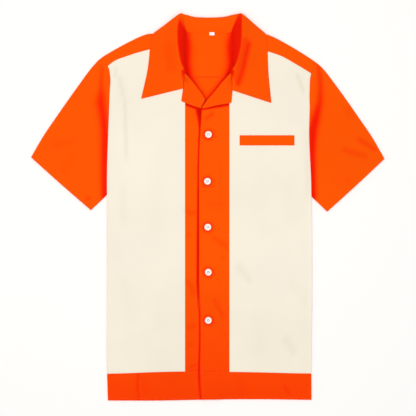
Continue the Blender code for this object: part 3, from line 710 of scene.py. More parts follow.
def wrap_cloth(grid: Grid, rim_steps: int = 4) -> Shell:
    """Put a wall round a grid: middle plus and minus half a wall along the normal, with a round rim.

    The rim's point at angle a is the edge point + half * (outward * cos a + normal * sin a).

    Args:
        grid: the middle of the cloth.
        rim_steps: faces from one side to the other round the edge.

    Returns:
        The closed shell, with its faces pointing outwards.
    """
    rows, cols = grid.points.shape[:2]
    index = np.arange(rows * cols).reshape(rows, cols)
    if grid.wrap:
        index = np.hstack([index, index[:, :1]])
    wide = np.arange(index.size).reshape(index.shape)
    pick = np.ones((rows - 1, index.shape[1] - 1), dtype=bool) if grid.keep is None else grid.keep

    def squares(numbers: Array) -> Array:
        """The kept squares' corners, in order round each."""
        four = (numbers[:-1, :-1], numbers[:-1, 1:], numbers[1:, 1:], numbers[1:, :-1])
        return np.stack(four, axis=-1)[pick]

    weave = grid.spread().reshape(-1, 2)[squares(wide)]
    used, faces = np.unique(squares(index), return_inverse=True)
    faces = faces.reshape(-1, 4)
    points = grid.points.reshape(-1, 3)[used]
    half = np.broadcast_to(grid.wall, (rows, cols)).reshape(-1)[used, None] / 2.0
    painted_shade = np.broadcast_to(grid.painted_shade, (rows, cols)).reshape(-1)[used]
    back_painted_shade = painted_shade if grid.back_painted_shade is None else grid.back_painted_shade.reshape(-1)[used]
    normal = corner_normals(points, faces)
    count = len(points)
    rim, owner, corner = free_edges(faces, count)
    edge_points, edge_of = np.unique(rim, return_inverse=True)
    edge_of = edge_of.reshape(-1, 2)
    outward = rim_outward(points, normal, rim)[edge_points]
    rings = []
    for angle in np.pi * (0.5 - np.arange(1, rim_steps) / rim_steps):
        push = outward * math.cos(angle) + normal[edge_points] * math.sin(angle)
        rings.append(points[edge_points] + half[edge_points] * push)
    whole = np.vstack([points + half * normal, points - half * normal] + rings)
    start = [2 * count + len(edge_points) * n for n in range(rim_steps - 1)]
    levels = [rim] + [edge_of + first for first in start] + [rim + count]
    all_faces = [faces, faces[:, ::-1] + count]
    all_weave = [weave, weave[:, ::-1]]
    ends = np.stack([weave[owner, (corner + 1) % 4], weave[owner, corner]], axis=1)
    for high, low in zip(levels[:-1], levels[1:]):
        all_faces.append(np.column_stack([high[:, 1], high[:, 0], low[:, 0], low[:, 1]]))
        all_weave.append(np.stack([ends[:, 0], ends[:, 1], ends[:, 1], ends[:, 0]], axis=1))
    whole_painted_shade = np.r_[painted_shade, back_painted_shade, np.tile(back_painted_shade[edge_points], rim_steps - 1)]
    return Shell(whole, np.vstack(all_faces), whole_painted_shade, np.vstack(all_weave))


def make_mesh(name: str, shell: Shell, finish: Material) -> Mesh:
    """Put a shell into Blender, smooth, with its painted shade as the attribute "fold" and its weave map.

    Args:
        name: the mesh's name.
        shell: the mesh, whose faces may be a list where they have unlike numbers of corners.
        finish: the material.

    Returns:
        The mesh.
    """
    mesh = bpy.data.meshes.new(name)
    faces = shell.faces if isinstance(shell.faces, list) else shell.faces.tolist()
    mesh.from_pydata((shell.points * MM).tolist(), [], faces)
    if shell.weave is not None:
        layer = mesh.uv_layers.new(name="weave")
        layer.data.foreach_set("uv", shell.weave.reshape(-1).astype(np.float32))
    # The attribute "fold" holds painted shade: of creases, of gaps under edges and of hollows.
    deep_shade = mesh.attributes.new("fold", "FLOAT", "POINT")
    deep_shade.data.foreach_set("value", shell.painted_shade.astype(np.float32))
    mesh.shade_smooth()
    mesh.materials.append(finish)
    return mesh


def place_object(name: str, data: ID) -> Object:
    """Make an object of a mesh, a lamp or a camera, at the origin.

    Args:
        name: the object's name.
        data: what it shows.

    Returns:
        The object.
    """
    made = bpy.data.objects.new(name, data)
    bpy.context.scene.collection.objects.link(made)
    return made


# ---- finishes -------------------------------------------------------------------------------------
def linear(colour: str) -> tuple[float, float, float, float]:
    """An sRGB hex value as linear light: the two-part sRGB curve on each channel.

    Args:
        colour: the value, as #rrggbb.

    Returns:
        Red, green, blue and 1.
    """
    channels = [int(colour[n:n + 2], 16) / 255.0 for n in (1, 3, 5)]
    red, green, blue = (c / 12.92 if c <= 0.04045 else ((c + 0.055) / 1.055) ** 2.4 for c in channels)
    return red, green, blue, 1.0


def add_node(tree: NodeTree, kind: str, settings: dict | None = None,
             inputs: dict | None = None) -> Node:
    """Add a node, set it up and feed it.

    Args:
        tree: the material's nodes.
        kind: the shader node's type, such as Bump.
        settings: its properties by name.
        inputs: its sockets by name or number, each a constant or the socket that feeds it.

    Returns:
        The node.
    """
    made = tree.nodes.new("ShaderNode" + kind)
    for name, value in (settings or {}).items():
        setattr(made, name, value)
    for name, value in (inputs or {}).items():
        if isinstance(value, NodeSocket):
            tree.links.new(value, made.inputs[name])
        else:
            made.inputs[name].default_value = value
    return made


def new_material(name: str, shader: dict[str, object]) -> tuple[Material, NodeTree, Node]:
    """A material with its constants on the shader's own sockets.

    Args:
        name: the material's name.
        shader: the constants, by socket.

    Returns:
        The material, its nodes and its shader.
    """
    made = bpy.data.materials.new(name)
    made.use_nodes = True
    tree = made.node_tree
    principled = tree.nodes["Principled BSDF"]
    for socket, value in shader.items():
        principled.inputs[socket].default_value = value
    return made, tree, principled


MIX_FACTOR, MIX_A, MIX_B, MIX_OUT = 0, 6, 7, 2         # a colour Mix node's sockets
BLEND = {"data_type": "RGBA"}                          # a Mix node that goes from one to the other
TIMES = {**BLEND, "blend_type": "MULTIPLY"}            # a Mix node that multiplies them
BAND_SCALE = 0.314                                     # a Wave node's scale for bands 1 m apart


@dataclass(frozen=True)
class Poplin:
    """Cotton poplin: a close, even plain weave with a dull, very slightly fuzzy face.

    The threads of a real one are 0.25 mm apart. They are drawn 1.1 mm apart, so that a close view
    shows them and the whole shirt still looks smooth. low and high are the colour at the hem and from
    the waist up; the darker hem is painted shade, for the light that falls off towards it. The two shade
    colours are painted shade in an open and in a shut crease.
    """

    name: str
    low: str
    high: str
    deep_shade: str
    deepest_shade: str
    thread_mm: float = 1.1
    thread_bump: float = 0.10
    crumple_mm: float = 34.0
    crumple_bump: float = 0.10
    hem_y: float = -0.4
    waist_y: float = -0.12
    slub_scale: float = 0.22
    mottle: float = 0.035
    roughness: float = 0.92
    specular: float = 0.06
    sheen: float = 0.03

    def build(self) -> Material:
        """Make the material: colour with painted shade towards the hem and in creases, woven and softly
        crumpled.

        Returns:
            The material.
        """
        shader = {"Roughness": self.roughness, "Specular IOR Level": self.specular, "IOR": 1.5,
                  "Sheen Weight": self.sheen, "Sheen Roughness": 0.6, "Sheen Tint": linear(self.high)}
        made, tree, principled = new_material(self.name, shader)
        place = add_node(tree, "TexCoord")
        weave = add_node(tree, "UVMap", {"uv_map": "weave"})
        fold = add_node(tree, "Attribute", {"attribute_name": "fold"})
        apart = add_node(tree, "SeparateXYZ", inputs={0: place.outputs["Object"]})
        # Painted shade: from the waist down the colour darkens to the hem's, as the light falls off there.
        height = add_node(tree, "MapRange", inputs={
            "Value": apart.outputs["Y"], "From Min": self.hem_y, "From Max": self.waist_y})
        painted_falloff = add_node(tree, "Mix", BLEND, {
            MIX_FACTOR: height.outputs[0], MIX_A: linear(self.low), MIX_B: linear(self.high)})
        slub = add_node(tree, "TexNoise", inputs={
            "Vector": place.outputs["Object"], "Scale": self.slub_scale / (self.crumple_mm * MM),
            "Detail": 4.0})
        uneven = add_node(tree, "MapRange", inputs={
            "Value": slub.outputs[0], "From Min": 0.3, "From Max": 0.7,
            "To Min": 1.0 - self.mottle, "To Max": 1.0 + self.mottle * 0.4})
        toned = add_node(tree, "Mix", TIMES, {
            MIX_FACTOR: 1.0, MIX_A: painted_falloff.outputs[MIX_OUT], MIX_B: uneven.outputs[0]})
        # Painted shade: the attribute "fold" mixes towards the open crease's shade colour, and from 1 to 2
        # towards the shut one's.
        painted_crease_shade = add_node(tree, "Mix", BLEND, {
            MIX_FACTOR: fold.outputs["Fac"], MIX_A: toned.outputs[MIX_OUT], MIX_B: linear(self.deep_shade)})
        beyond = add_node(tree, "MapRange", inputs={
            "Value": fold.outputs["Fac"], "From Min": 1.0, "From Max": 2.0})
        painted_shut_shade = add_node(tree, "Mix", BLEND, {
            MIX_FACTOR: beyond.outputs[0], MIX_A: painted_crease_shade.outputs[MIX_OUT], MIX_B: linear(self.deepest_shade)})
        tree.links.new(painted_shut_shade.outputs[MIX_OUT], principled.inputs["Base Color"])
        tree.links.new(self.relief(tree, place, weave), principled.inputs["Normal"])
        return made

    def relief(self, tree: NodeTree, place: Node, weave: Node) -> NodeSocket:
        """Warp and weft as two crossed sets of waves, over a soft crumple.

        Args:
            tree: the material's nodes.
            place: the texture coordinates.
            weave: the piece's own map, in metres along the cloth.

        Returns:
            The socket with the normal.
        """
        waves = []
        for direction in ("X", "Y"):
            wave = add_node(tree, "TexWave", {"bands_direction": direction}, {
                "Vector": weave.outputs[0], "Scale": BAND_SCALE / (self.thread_mm * MM),
                "Distortion": 0.5, "Detail": 1.0})
            waves.append(wave.outputs["Fac"])
        cross = add_node(tree, "Math", {"operation": "MULTIPLY"}, {0: waves[0], 1: waves[1]})
        crumple = add_node(tree, "TexNoise", inputs={
            "Vector": place.outputs["Object"], "Scale": 1.0 / (self.crumple_mm * MM), "Detail": 3.0,
            "Roughness": 0.45})
        soft = add_node(tree, "Bump", inputs={
            "Strength": self.crumple_bump, "Distance": 2.0 * MM, "Height": crumple.outputs[0]})
        woven = add_node(tree, "Bump", inputs={
            "Strength": self.thread_bump, "Distance": 0.25 * MM, "Height": cross.outputs[0],
            "Normal": soft.outputs[0]})
        return woven.outputs[0]


@dataclass(frozen=True)
class SewingThread:
    """Spun polyester thread: a touch shinier than the cloth, in the cloth's own colour."""

    name: str
    colour: str
    twist_mm: float = 0.5

    def build(self) -> Material:
        """Make the material: plies that twist, as fine bands across the stitch.

        Returns:
            The material.
        """
        shader = {"Roughness": 0.6, "Specular IOR Level": 0.25, "IOR": 1.5}
        made, tree, principled = new_material(self.name, shader)
        place = add_node(tree, "TexCoord")
        plies = add_node(tree, "TexWave", {"bands_direction": "DIAGONAL"}, {
            "Vector": place.outputs["Object"], "Scale": BAND_SCALE / (self.twist_mm * MM)})
        tone = add_node(tree, "MapRange", inputs={
            "Value": plies.outputs["Fac"], "To Min": 0.86, "To Max": 1.0})
        colour = add_node(tree, "Mix", TIMES, {
            MIX_FACTOR: 1.0, MIX_A: linear(self.colour), MIX_B: tone.outputs[0]})
        tree.links.new(colour.outputs[MIX_OUT], principled.inputs["Base Color"])
        return made


@dataclass(frozen=True)
class PearlPolyester:
    """Cast polyester with a pearl filler: pale, glossy, with faint swirls, and painted shade in the drilled
    holes and a ring of the dish.
    """

    name: str
    pale: str
    shade: str
    hole_shade: str

    def build(self) -> Material:
        """Make the material: slow swirls of two near whites under a clear, polished face.

        Returns:
            The material.
        """
        shader = {"Roughness": 0.28, "Specular IOR Level": 0.5, "IOR": 1.56, "Coat Weight": 0.3,
                  "Coat Roughness": 0.12, "Subsurface Weight": 0.08, "Subsurface Scale": 1.0 * MM}
        made, tree, principled = new_material(self.name, shader)
        place = add_node(tree, "TexCoord")
        swirl = add_node(tree, "TexNoise", inputs={
            "Vector": place.outputs["Object"], "Scale": 160.0, "Detail": 2.0, "Distortion": 2.4})
        part = add_node(tree, "MapRange", inputs={
            "Value": swirl.outputs[0], "From Min": 0.35, "From Max": 0.65})
        colour = add_node(tree, "Mix", BLEND, {
            MIX_FACTOR: part.outputs[0], MIX_A: linear(self.shade), MIX_B: linear(self.pale)})
        # Painted shade in the holes and in a ring of the dished face, from the attribute "fold".
        fold = add_node(tree, "Attribute", {"attribute_name": "fold"})
        painted_hole_shade = add_node(tree, "Mix", BLEND, {
            MIX_FACTOR: fold.outputs["Fac"], MIX_A: colour.outputs[MIX_OUT], MIX_B: linear(self.hole_shade)})
        tree.links.new(painted_hole_shade.outputs[MIX_OUT], principled.inputs["Base Color"])
        return made


@dataclass(frozen=True)
class SatinTape:
    """Polyester satin tape, woven and heat cut: white, with a soft sheen across its ribs."""

    name: str
    colour: str
    rib_mm: float = 0.6

    def build(self) -> Material:
        """Make the material: fine ribs across the tape.

        Returns:
            The material.
        """
        shader = {"Roughness": 0.45, "Specular IOR Level": 0.4, "IOR": 1.5, "Sheen Weight": 0.2}
        made, tree, principled = new_material(self.name, shader)
        weave = add_node(tree, "UVMap", {"uv_map": "weave"})
        ribs = add_node(tree, "TexWave", {"bands_direction": "Y"}, {
            "Vector": weave.outputs[0], "Scale": BAND_SCALE / (self.rib_mm * MM)})
        tone = add_node(tree, "MapRange", inputs={
            "Value": ribs.outputs["Fac"], "To Min": 0.94, "To Max": 1.0})
        colour = add_node(tree, "Mix", TIMES, {
            MIX_FACTOR: 1.0, MIX_A: linear(self.colour), MIX_B: tone.outputs[0]})
        bump = add_node(tree, "Bump", inputs={
            "Strength": 0.3, "Distance": 0.1 * MM, "Height": ribs.outputs["Fac"]})
        tree.links.new(colour.outputs[MIX_OUT], principled.inputs["Base Color"])
        tree.links.new(bump.outputs[0], principled.inputs["Normal"])
        return made


# ---- the pieces -----------------------------------------------------------------------------------
@dataclass
class ClothPiece:
    """A sewn piece: the CAD node that it stands for, and the cloth that it was cut from.

    flat is the cut's width and length and area its area, in metres. rests_on names what it lies on.
    shade holds the creases and painted shade of this piece alone, and outside those of its reverse.
    turned_in is the share that a turned-in edge adds to the wall.
    """

    lie: Lie
    finish: Material
    node: str
    slot: Slot
    flat: tuple[float, float]
    area: float
    rests_on: tuple[str, ...] = ()
    wall: float = 0.8
    turned_in: float = 0.5
    shade: Creases = field(default_factory=lambda: Creases(()))
    outside: Creases = field(default_factory=lambda: Creases(()))

    def grid(self) -> Grid:
        """The middle of the cloth."""
        raise NotImplementedError

    def face_painted_shade(self, x: Array, y: Array) -> Array:
        """Painted shade on the face: from the shirt's creases or the piece's own, whichever is deeper."""
        return np.maximum(self.lie.painted_shade(x, y), self.shade.at(x, y)[1])

    def hemmed(self, away: Array | float, width: float, ease: float) -> Array | float:
        """The wall, half as thick again within width of an edge that is turned in."""
        return self.wall * (1.0 + self.turned_in * smooth((width - away) / ease))

    def build(self) -> Grid:
        """Make the piece, hang it in the frame, hide its CAD part and log how much cloth it has.

        Returns:
            The middle of the cloth, for the rows of stitches.
        """
        grid = self.grid()
        name = self.node + "_cloth"
        made = place_object(name, make_mesh(name, wrap_cloth(grid), self.finish))
        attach(made, BODY)
        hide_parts(self.node)
        list(self.rests_on)
        cloth = sum(face.area for face in made.data.polygons) / 2.0
        log.info("%s: %d faces, %.5f square metres of cloth", made.name, len(made.data.polygons), cloth)
        return grid


@dataclass
class Back(ClothPiece):
    """The lower layer from the hem to the yoke seam, flat on the surface."""

    rows: int = 220
    cols: int = 120

    def grid(self) -> Grid:
        """x runs from seam to seam and y from the hem to the yoke seam.

        z is half a wall, and a little more in creases.

        Returns:
            The middle of the cloth.
        """
        cut = self.lie.pattern
        rise = shares(self.rows)[:, None]
        y = cut.back_hem + (cut.back_yoke_seam - cut.gap / 2.0 - cut.back_hem) * rise
        right = -cut.side_edge(Side.RIGHT, y)
        x = right + (cut.side_edge(Side.LEFT, y) - right) * shares(self.cols)[None, :]
        y = y + 0.0 * x
        # The reverse's creases lift it a little and paint shade on it; the face gets the painted shade
        # inside the neck.
        lifted, back_painted_shade = self.outside.at(x, y)
        return Grid(stack(x, y, self.wall / 2.0 + lifted), self.wall, self.shade.at(x, y)[1],
                    back_painted_shade=back_painted_shade)


@dataclass
class Yoke(ClothPiece):
    """The yoke: up the back, round the shoulder folds and down to the front yoke seams."""

    back_rows: int = 34
    front_rows: int = 22
    fold_rows: int = 9
    shoulder_cols: int = 64
    neck_cols: int = 40
    neck_margin: float = 0.1
    fitted_from: float = 0.5

    def fit(self, x: Array, y: Array) -> Array:
        """Move the columns of the outer half, so that the last one follows the armhole.

        Args:
            x: places across, up to the shoulder's tip.
            y: places up.

        Returns:
            The new places across: x + (armhole - tip) * an ease from the half to the tip.
        """
        cut = self.lie.pattern
        tip = np.where(x < 0, -cut.armhole[Side.RIGHT][-1][0], cut.armhole[Side.LEFT][-1][0])
        edge = np.where(x < 0, -cut.side_edge(Side.RIGHT, y), cut.side_edge(Side.LEFT, y))
        return x + (edge - tip) * smooth((x / tip - self.fitted_from) / (1.0 - self.fitted_from))

    def grid(self) -> Grid:
        """Three runs of rows: flat behind, half a turn round the fold, and down the front.

        The turn is y = fold_radius * cos a and z = middle + half * sin a, for a from -90 to 90 degrees.

        Returns:
            The middle of the cloth.
        """
        cut = self.lie.pattern
        neck = (cut.back_neck[0][0], cut.back_neck[-1][0])
        tips = (-cut.armhole[Side.RIGHT][-1][0], cut.armhole[Side.LEFT][-1][0])
        x = np.r_[np.linspace(tips[0], neck[0], self.shoulder_cols),
                  np.linspace(neck[0], neck[1], self.neck_cols)[1:-1],
                  np.linspace(neck[1], tips[1], self.shoulder_cols)]
        on_neck = (x > neck[0] + self.neck_margin) & (x < neck[1] - self.neck_margin)
        reach = cut.cad_wall / 2.0 + cut.fold_radius
        fold = cut.yoke_fold_height(x)
        foot = cut.back_yoke_seam + cut.gap / 2.0
        front = cut.by_side(cut.yoke_front, x)
        for _ in range(SETTLING_ROUNDS):
            front = cut.by_side(cut.yoke_front, self.fit(x, front))
        start = fold - reach
        y = foot + (start - foot) * shares(self.back_rows)[:, None]
        px = self.fit(x[None, :] + 0.0 * y, y)
        behind = stack(px, y, self.lie.back_under(px, y) + self.wall / 2.0)
        y = start + (front + cut.gap / 2.0 - start) * shares(self.front_rows)[:, None]
        px = self.fit(x[None, :] + 0.0 * y, y)
        before = stack(px, y, self.lie.middle(px, y))
        low, high = behind[-1], before[0]
        angle = np.radians(np.linspace(-90.0, 90.0, self.fold_rows)[1:-1])[:, None]
        middle = (low[:, 2] + high[:, 2]) / 2.0
        half = (high[:, 2] - low[:, 2]) / 2.0
        turned = stack(low[None, :, 0], low[None, :, 1] + cut.fold_radius * np.cos(angle),
                       middle + half * np.sin(angle))
        points = np.concatenate([behind, turned, before])
        keep = np.ones((points.shape[0] - 1, points.shape[1] - 1), dtype=bool)
        keep[self.back_rows:, on_neck[:-1] | on_neck[1:]] = False
        # Painted shade: the shirt's creases on the turn and the front; inside the neck and on the reverse,
        # the yoke's own.
        painted_shade = self.lie.painted_shade(points[..., 0], points[..., 1])
        back_painted_shade = painted_shade.copy()
        painted_shade[:behind.shape[0]] = self.shade.at(behind[..., 0], behind[..., 1])[1]
        back_painted_shade[:behind.shape[0]] = self.outside.at(behind[..., 0], behind[..., 1])[1]
        return Grid(points, self.wall, painted_shade=painted_shade, keep=keep, back_painted_shade=back_painted_shade)


@dataclass
class FrontPanel(ClothPiece):
    """A cream front: band seam to yoke seam, strip seam to side seam and armhole."""

    side: Side = Side.RIGHT
    rows: int = 210
    cols: int = 56
    edge_plain: float = 1.0
    edge_ease: float = 13.0

    def grid(self) -> Grid:
        """Rows between the two seams, columns between the strip and the side, on the upper layer.

        Returns:
            The middle of the cloth.
        """
        cut = self.lie.pattern
        seam = np.array(cut.front_inner[self.side])
        across = shares(self.cols)[None, :]
        inner = cut.strip_out[self.side] + cut.gap / 2.0
        widest = float(cut.side_edge(self.side, np.array([0.0]))[0])
        out = inner + (widest - inner) * across
        low = reading(cut.band_seam[self.side], out, 0, 1) + cut.gap / 2.0
        for _ in range(SETTLING_ROUNDS):
            top = reading(cut.yoke_front[self.side], out, 0, 1) - cut.gap
            start = np.interp(top, seam[:, 1], seam[:, 0])
            out = start + (cut.side_edge(self.side, top) - start) * across
        y = low + (top - low) * shares(self.rows)[:, None]
        start = np.interp(y, seam[:, 1], seam[:, 0])
        edge = cut.side_edge(self.side, y)
        x = self.side.value * (start + (edge - start) * across)
        # The painted shade of the creases fades out next to the side seam and armhole.
        inside = smooth((edge - np.abs(x) - self.edge_plain) / self.edge_ease)
        return Grid(stack(x, y, self.lie.middle(x, y)), self.wall, self.face_painted_shade(x, y) * inside)


@dataclass
class FrontStrip(ClothPiece):
    """A front strip: band seam to the roll of the lapel, with a folded and stitched front edge."""

    side: Side = Side.RIGHT
    rows: int = 360
    cols: int = 44
    left_edge: float = -16.0
    fold_width: float = 7.0
    fold_ease: float = 2.0
    settle: float = 0.2
    settle_reach: float = 9.0
    settle_top: float = 200.0
    settle_ease: float = 20.0

    @property
    def rough_edge(self) -> float:
        """X of the free edge, before it is read at each height."""
        return self.lie.pattern.strip_under_edge if self.side is Side.RIGHT else self.left_edge

    def front_edge(self, y: Array) -> Array:
        """X of the free edge at each height.

        Args:
            y: places up.

        Returns:
            One X for each.
        """
        cut = self.lie.pattern
        if self.side is Side.RIGHT:
            return np.full_like(y, cut.strip_under_edge)
        return reading(list(cut.front_edge), y, 1, 0)

    def settled(self, x: Array, y: Array, edge: Array) -> Array:
        """Fall of the left strip's pressed edge onto the one below: settle * exp(-(d / reach) squared).

        Args:
            x: places across.
            y: places up.
            edge: X of the free edge at each height.

        Returns:
            The fall at each place.
        """
        if self.side is Side.RIGHT:
            return np.zeros_like(x)
        near = np.exp(-((x - edge) / self.settle_reach) ** 2)
        return self.settle * near * smooth((self.settle_top - y) / self.settle_ease)

    def dressed(self, x: Array, y: Array, edge: Array) -> Grid:
        """Lay a strip or band on the upper layer, with its free edge turned in.

        Args:
            x: places across.
            y: places up.
            edge: X of the free edge at each height.

        Returns:
            The middle of the cloth.
        """
        z = self.lie.front_middle(self.side, x, y) - self.settled(x, y, edge)
        wall = self.hemmed(np.abs(x - edge), self.fold_width, self.fold_ease)
        return Grid(stack(x, y, z), wall, self.face_painted_shade(x, y))

    def grid(self) -> Grid:
        """Rows from the band seam to the lapel, columns from the cream front to the free edge.

        Returns:
            The middle of the cloth.
        """
        cut = self.lie.pattern
        outer = self.side.value * (cut.strip_out[self.side] - cut.gap / 2.0)
        across = shares(self.cols)[None, :]
        low = cut.band_seam[self.side][0][1] + cut.gap / 2.0
        top = reading(cut.strip_top[self.side], outer + (self.rough_edge - outer) * across, 0, 1)
        y = low + (top - low) * shares(self.rows)[:, None]
        edge = self.front_edge(y)
        return self.dressed(outer + (edge - outer) * across, y, edge)


@dataclass
class HemBand(FrontStrip):
    """A hem band, from the side seam to the front edge."""

    rows: int = 22
    cols: int = 84
    left_edge: float = -16.5

    def grid(self) -> Grid:
        """Rows from the hem to the band seam, columns from the side seam to the free edge.

        Returns:
            The middle of the cloth.
        """
        cut = self.lie.pattern
        sign = self.side.value
        across = shares(self.cols)[None, :]
        side_x = sign * cut.side_seam[self.side][1][0]
        out = (side_x + (self.rough_edge - side_x) * across) * sign
        top = reading(cut.band_seam[self.side], out, 0, 1) - cut.gap / 2.0
        low = reading(cut.hem[self.side], out, 0, 1)
        y = low + (top - low) * shares(self.rows)[:, None]
        edge = self.front_edge(y)
        far = sign * reading(cut.side_seam[self.side], y, 1, 0)
        return self.dressed(far + (edge - far) * across, y, edge)


@dataclass
class Sleeve(ClothPiece):
    """A flattened tube from the armhole to the cuff, with soft folds along its top and underarm."""

    side: Side = Side.RIGHT
    along: int = 60
    upper_cols: int = 76
    fold_rings: int = 9
    seam_gap: float = 0.45
    hem_width: float = 22.0
    hem_ease: float = 1.5

    def turned(self, start: Array, low: float, away: Array, angles: Array) -> Array:
        """Half a turn from the upper layer's edge down to the lower layer: out cos a, up sin a.

        Args:
            start: the edge's point.
            low: the lower layer's height.
            away: the direction out of the sleeve, in plan.
            angles: each a, in radians.

        Returns:
            One point for each angle.
        """
        middle = (start[2] + low) / 2.0
        radius = (start[2] - low) / 2.0
        step = radius * np.cos(angles)
        return stack(start[0] + self.side.value * away[0] * step, start[1] + away[1] * step,
                     middle + radius * np.sin(angles))

    def grid(self) -> Grid:
        """Rings of points: along the upper layer, round the underarm, back along the lower, round the top.

        Each ring lies on a line from the armhole to the cuff, bowed out to the sleeve's top edge.

        Returns:
            The middle of the cloth, with the rings as its rows.
        """
        cut = self.lie.pattern
        sign = self.side.value
        reach = cut.fold_radius + cut.cad_wall / 2.0
        top = cut.armhole[self.side][-1][1] - reach
        bottom = cut.armhole[self.side][0][1] + reach
        share = shares(self.upper_cols)
        heights = top + (bottom - top) * share
        hole = np.column_stack([cut.side_edge(self.side, heights) + self.seam_gap, heights])
        corners = np.array(cut.cuff[self.side], dtype=float)
        down = unit(corners[-1] - corners[0])
        cuff = spline([corners[0] + down * reach, corners[1], corners[-1] - down * reach], share)
        steps = shares(self.along)
        crests = spline(cut.sleeve_top[self.side], steps)
        turns = np.radians(np.linspace(90.0, -90.0, self.fold_rings)[1:-1])
        rings, painted_shades, walls = [], [], []
        length = float(np.linalg.norm(cuff[0] - hole[0]))
        for u, crest in zip(steps, crests):
            wall = self.hemmed((1.0 - u) * length, self.hem_width, self.hem_ease)
            line = hole * (1.0 - u) + cuff * u
            away = unit(line[-1] - line[0])
            if u > 0.0:
                line = line + (crest + away * reach - line[0]) * ((1.0 - share) ** 2)[:, None]
            x, y = sign * line[:, 0], line[:, 1]
            upper = stack(x, y, self.lie.middle(x, y))
            lower = stack(x, y, wall / 2.0)[::-1]
            ring = [upper, self.turned(upper[-1], lower[0, 2], away, turns), lower,
                    self.turned(upper[0], lower[0, 2], -away, turns[::-1])]
            rings.append(np.vstack(ring))
            # Painted shade: the creases' on the upper layer and its turns, those of the reverse on the
            # lower layer.
            above = self.face_painted_shade(x, y)
            below = self.outside.at(lower[:, 0], lower[:, 1])[1]
            painted_shades.append(np.r_[above, np.full(len(turns), above[-1]), below, np.full(len(turns), above[0])])
            walls.append(np.full(len(rings[-1]), wall))
        return Grid(np.array(rings), np.array(walls), np.array(painted_shades), wrap=True)


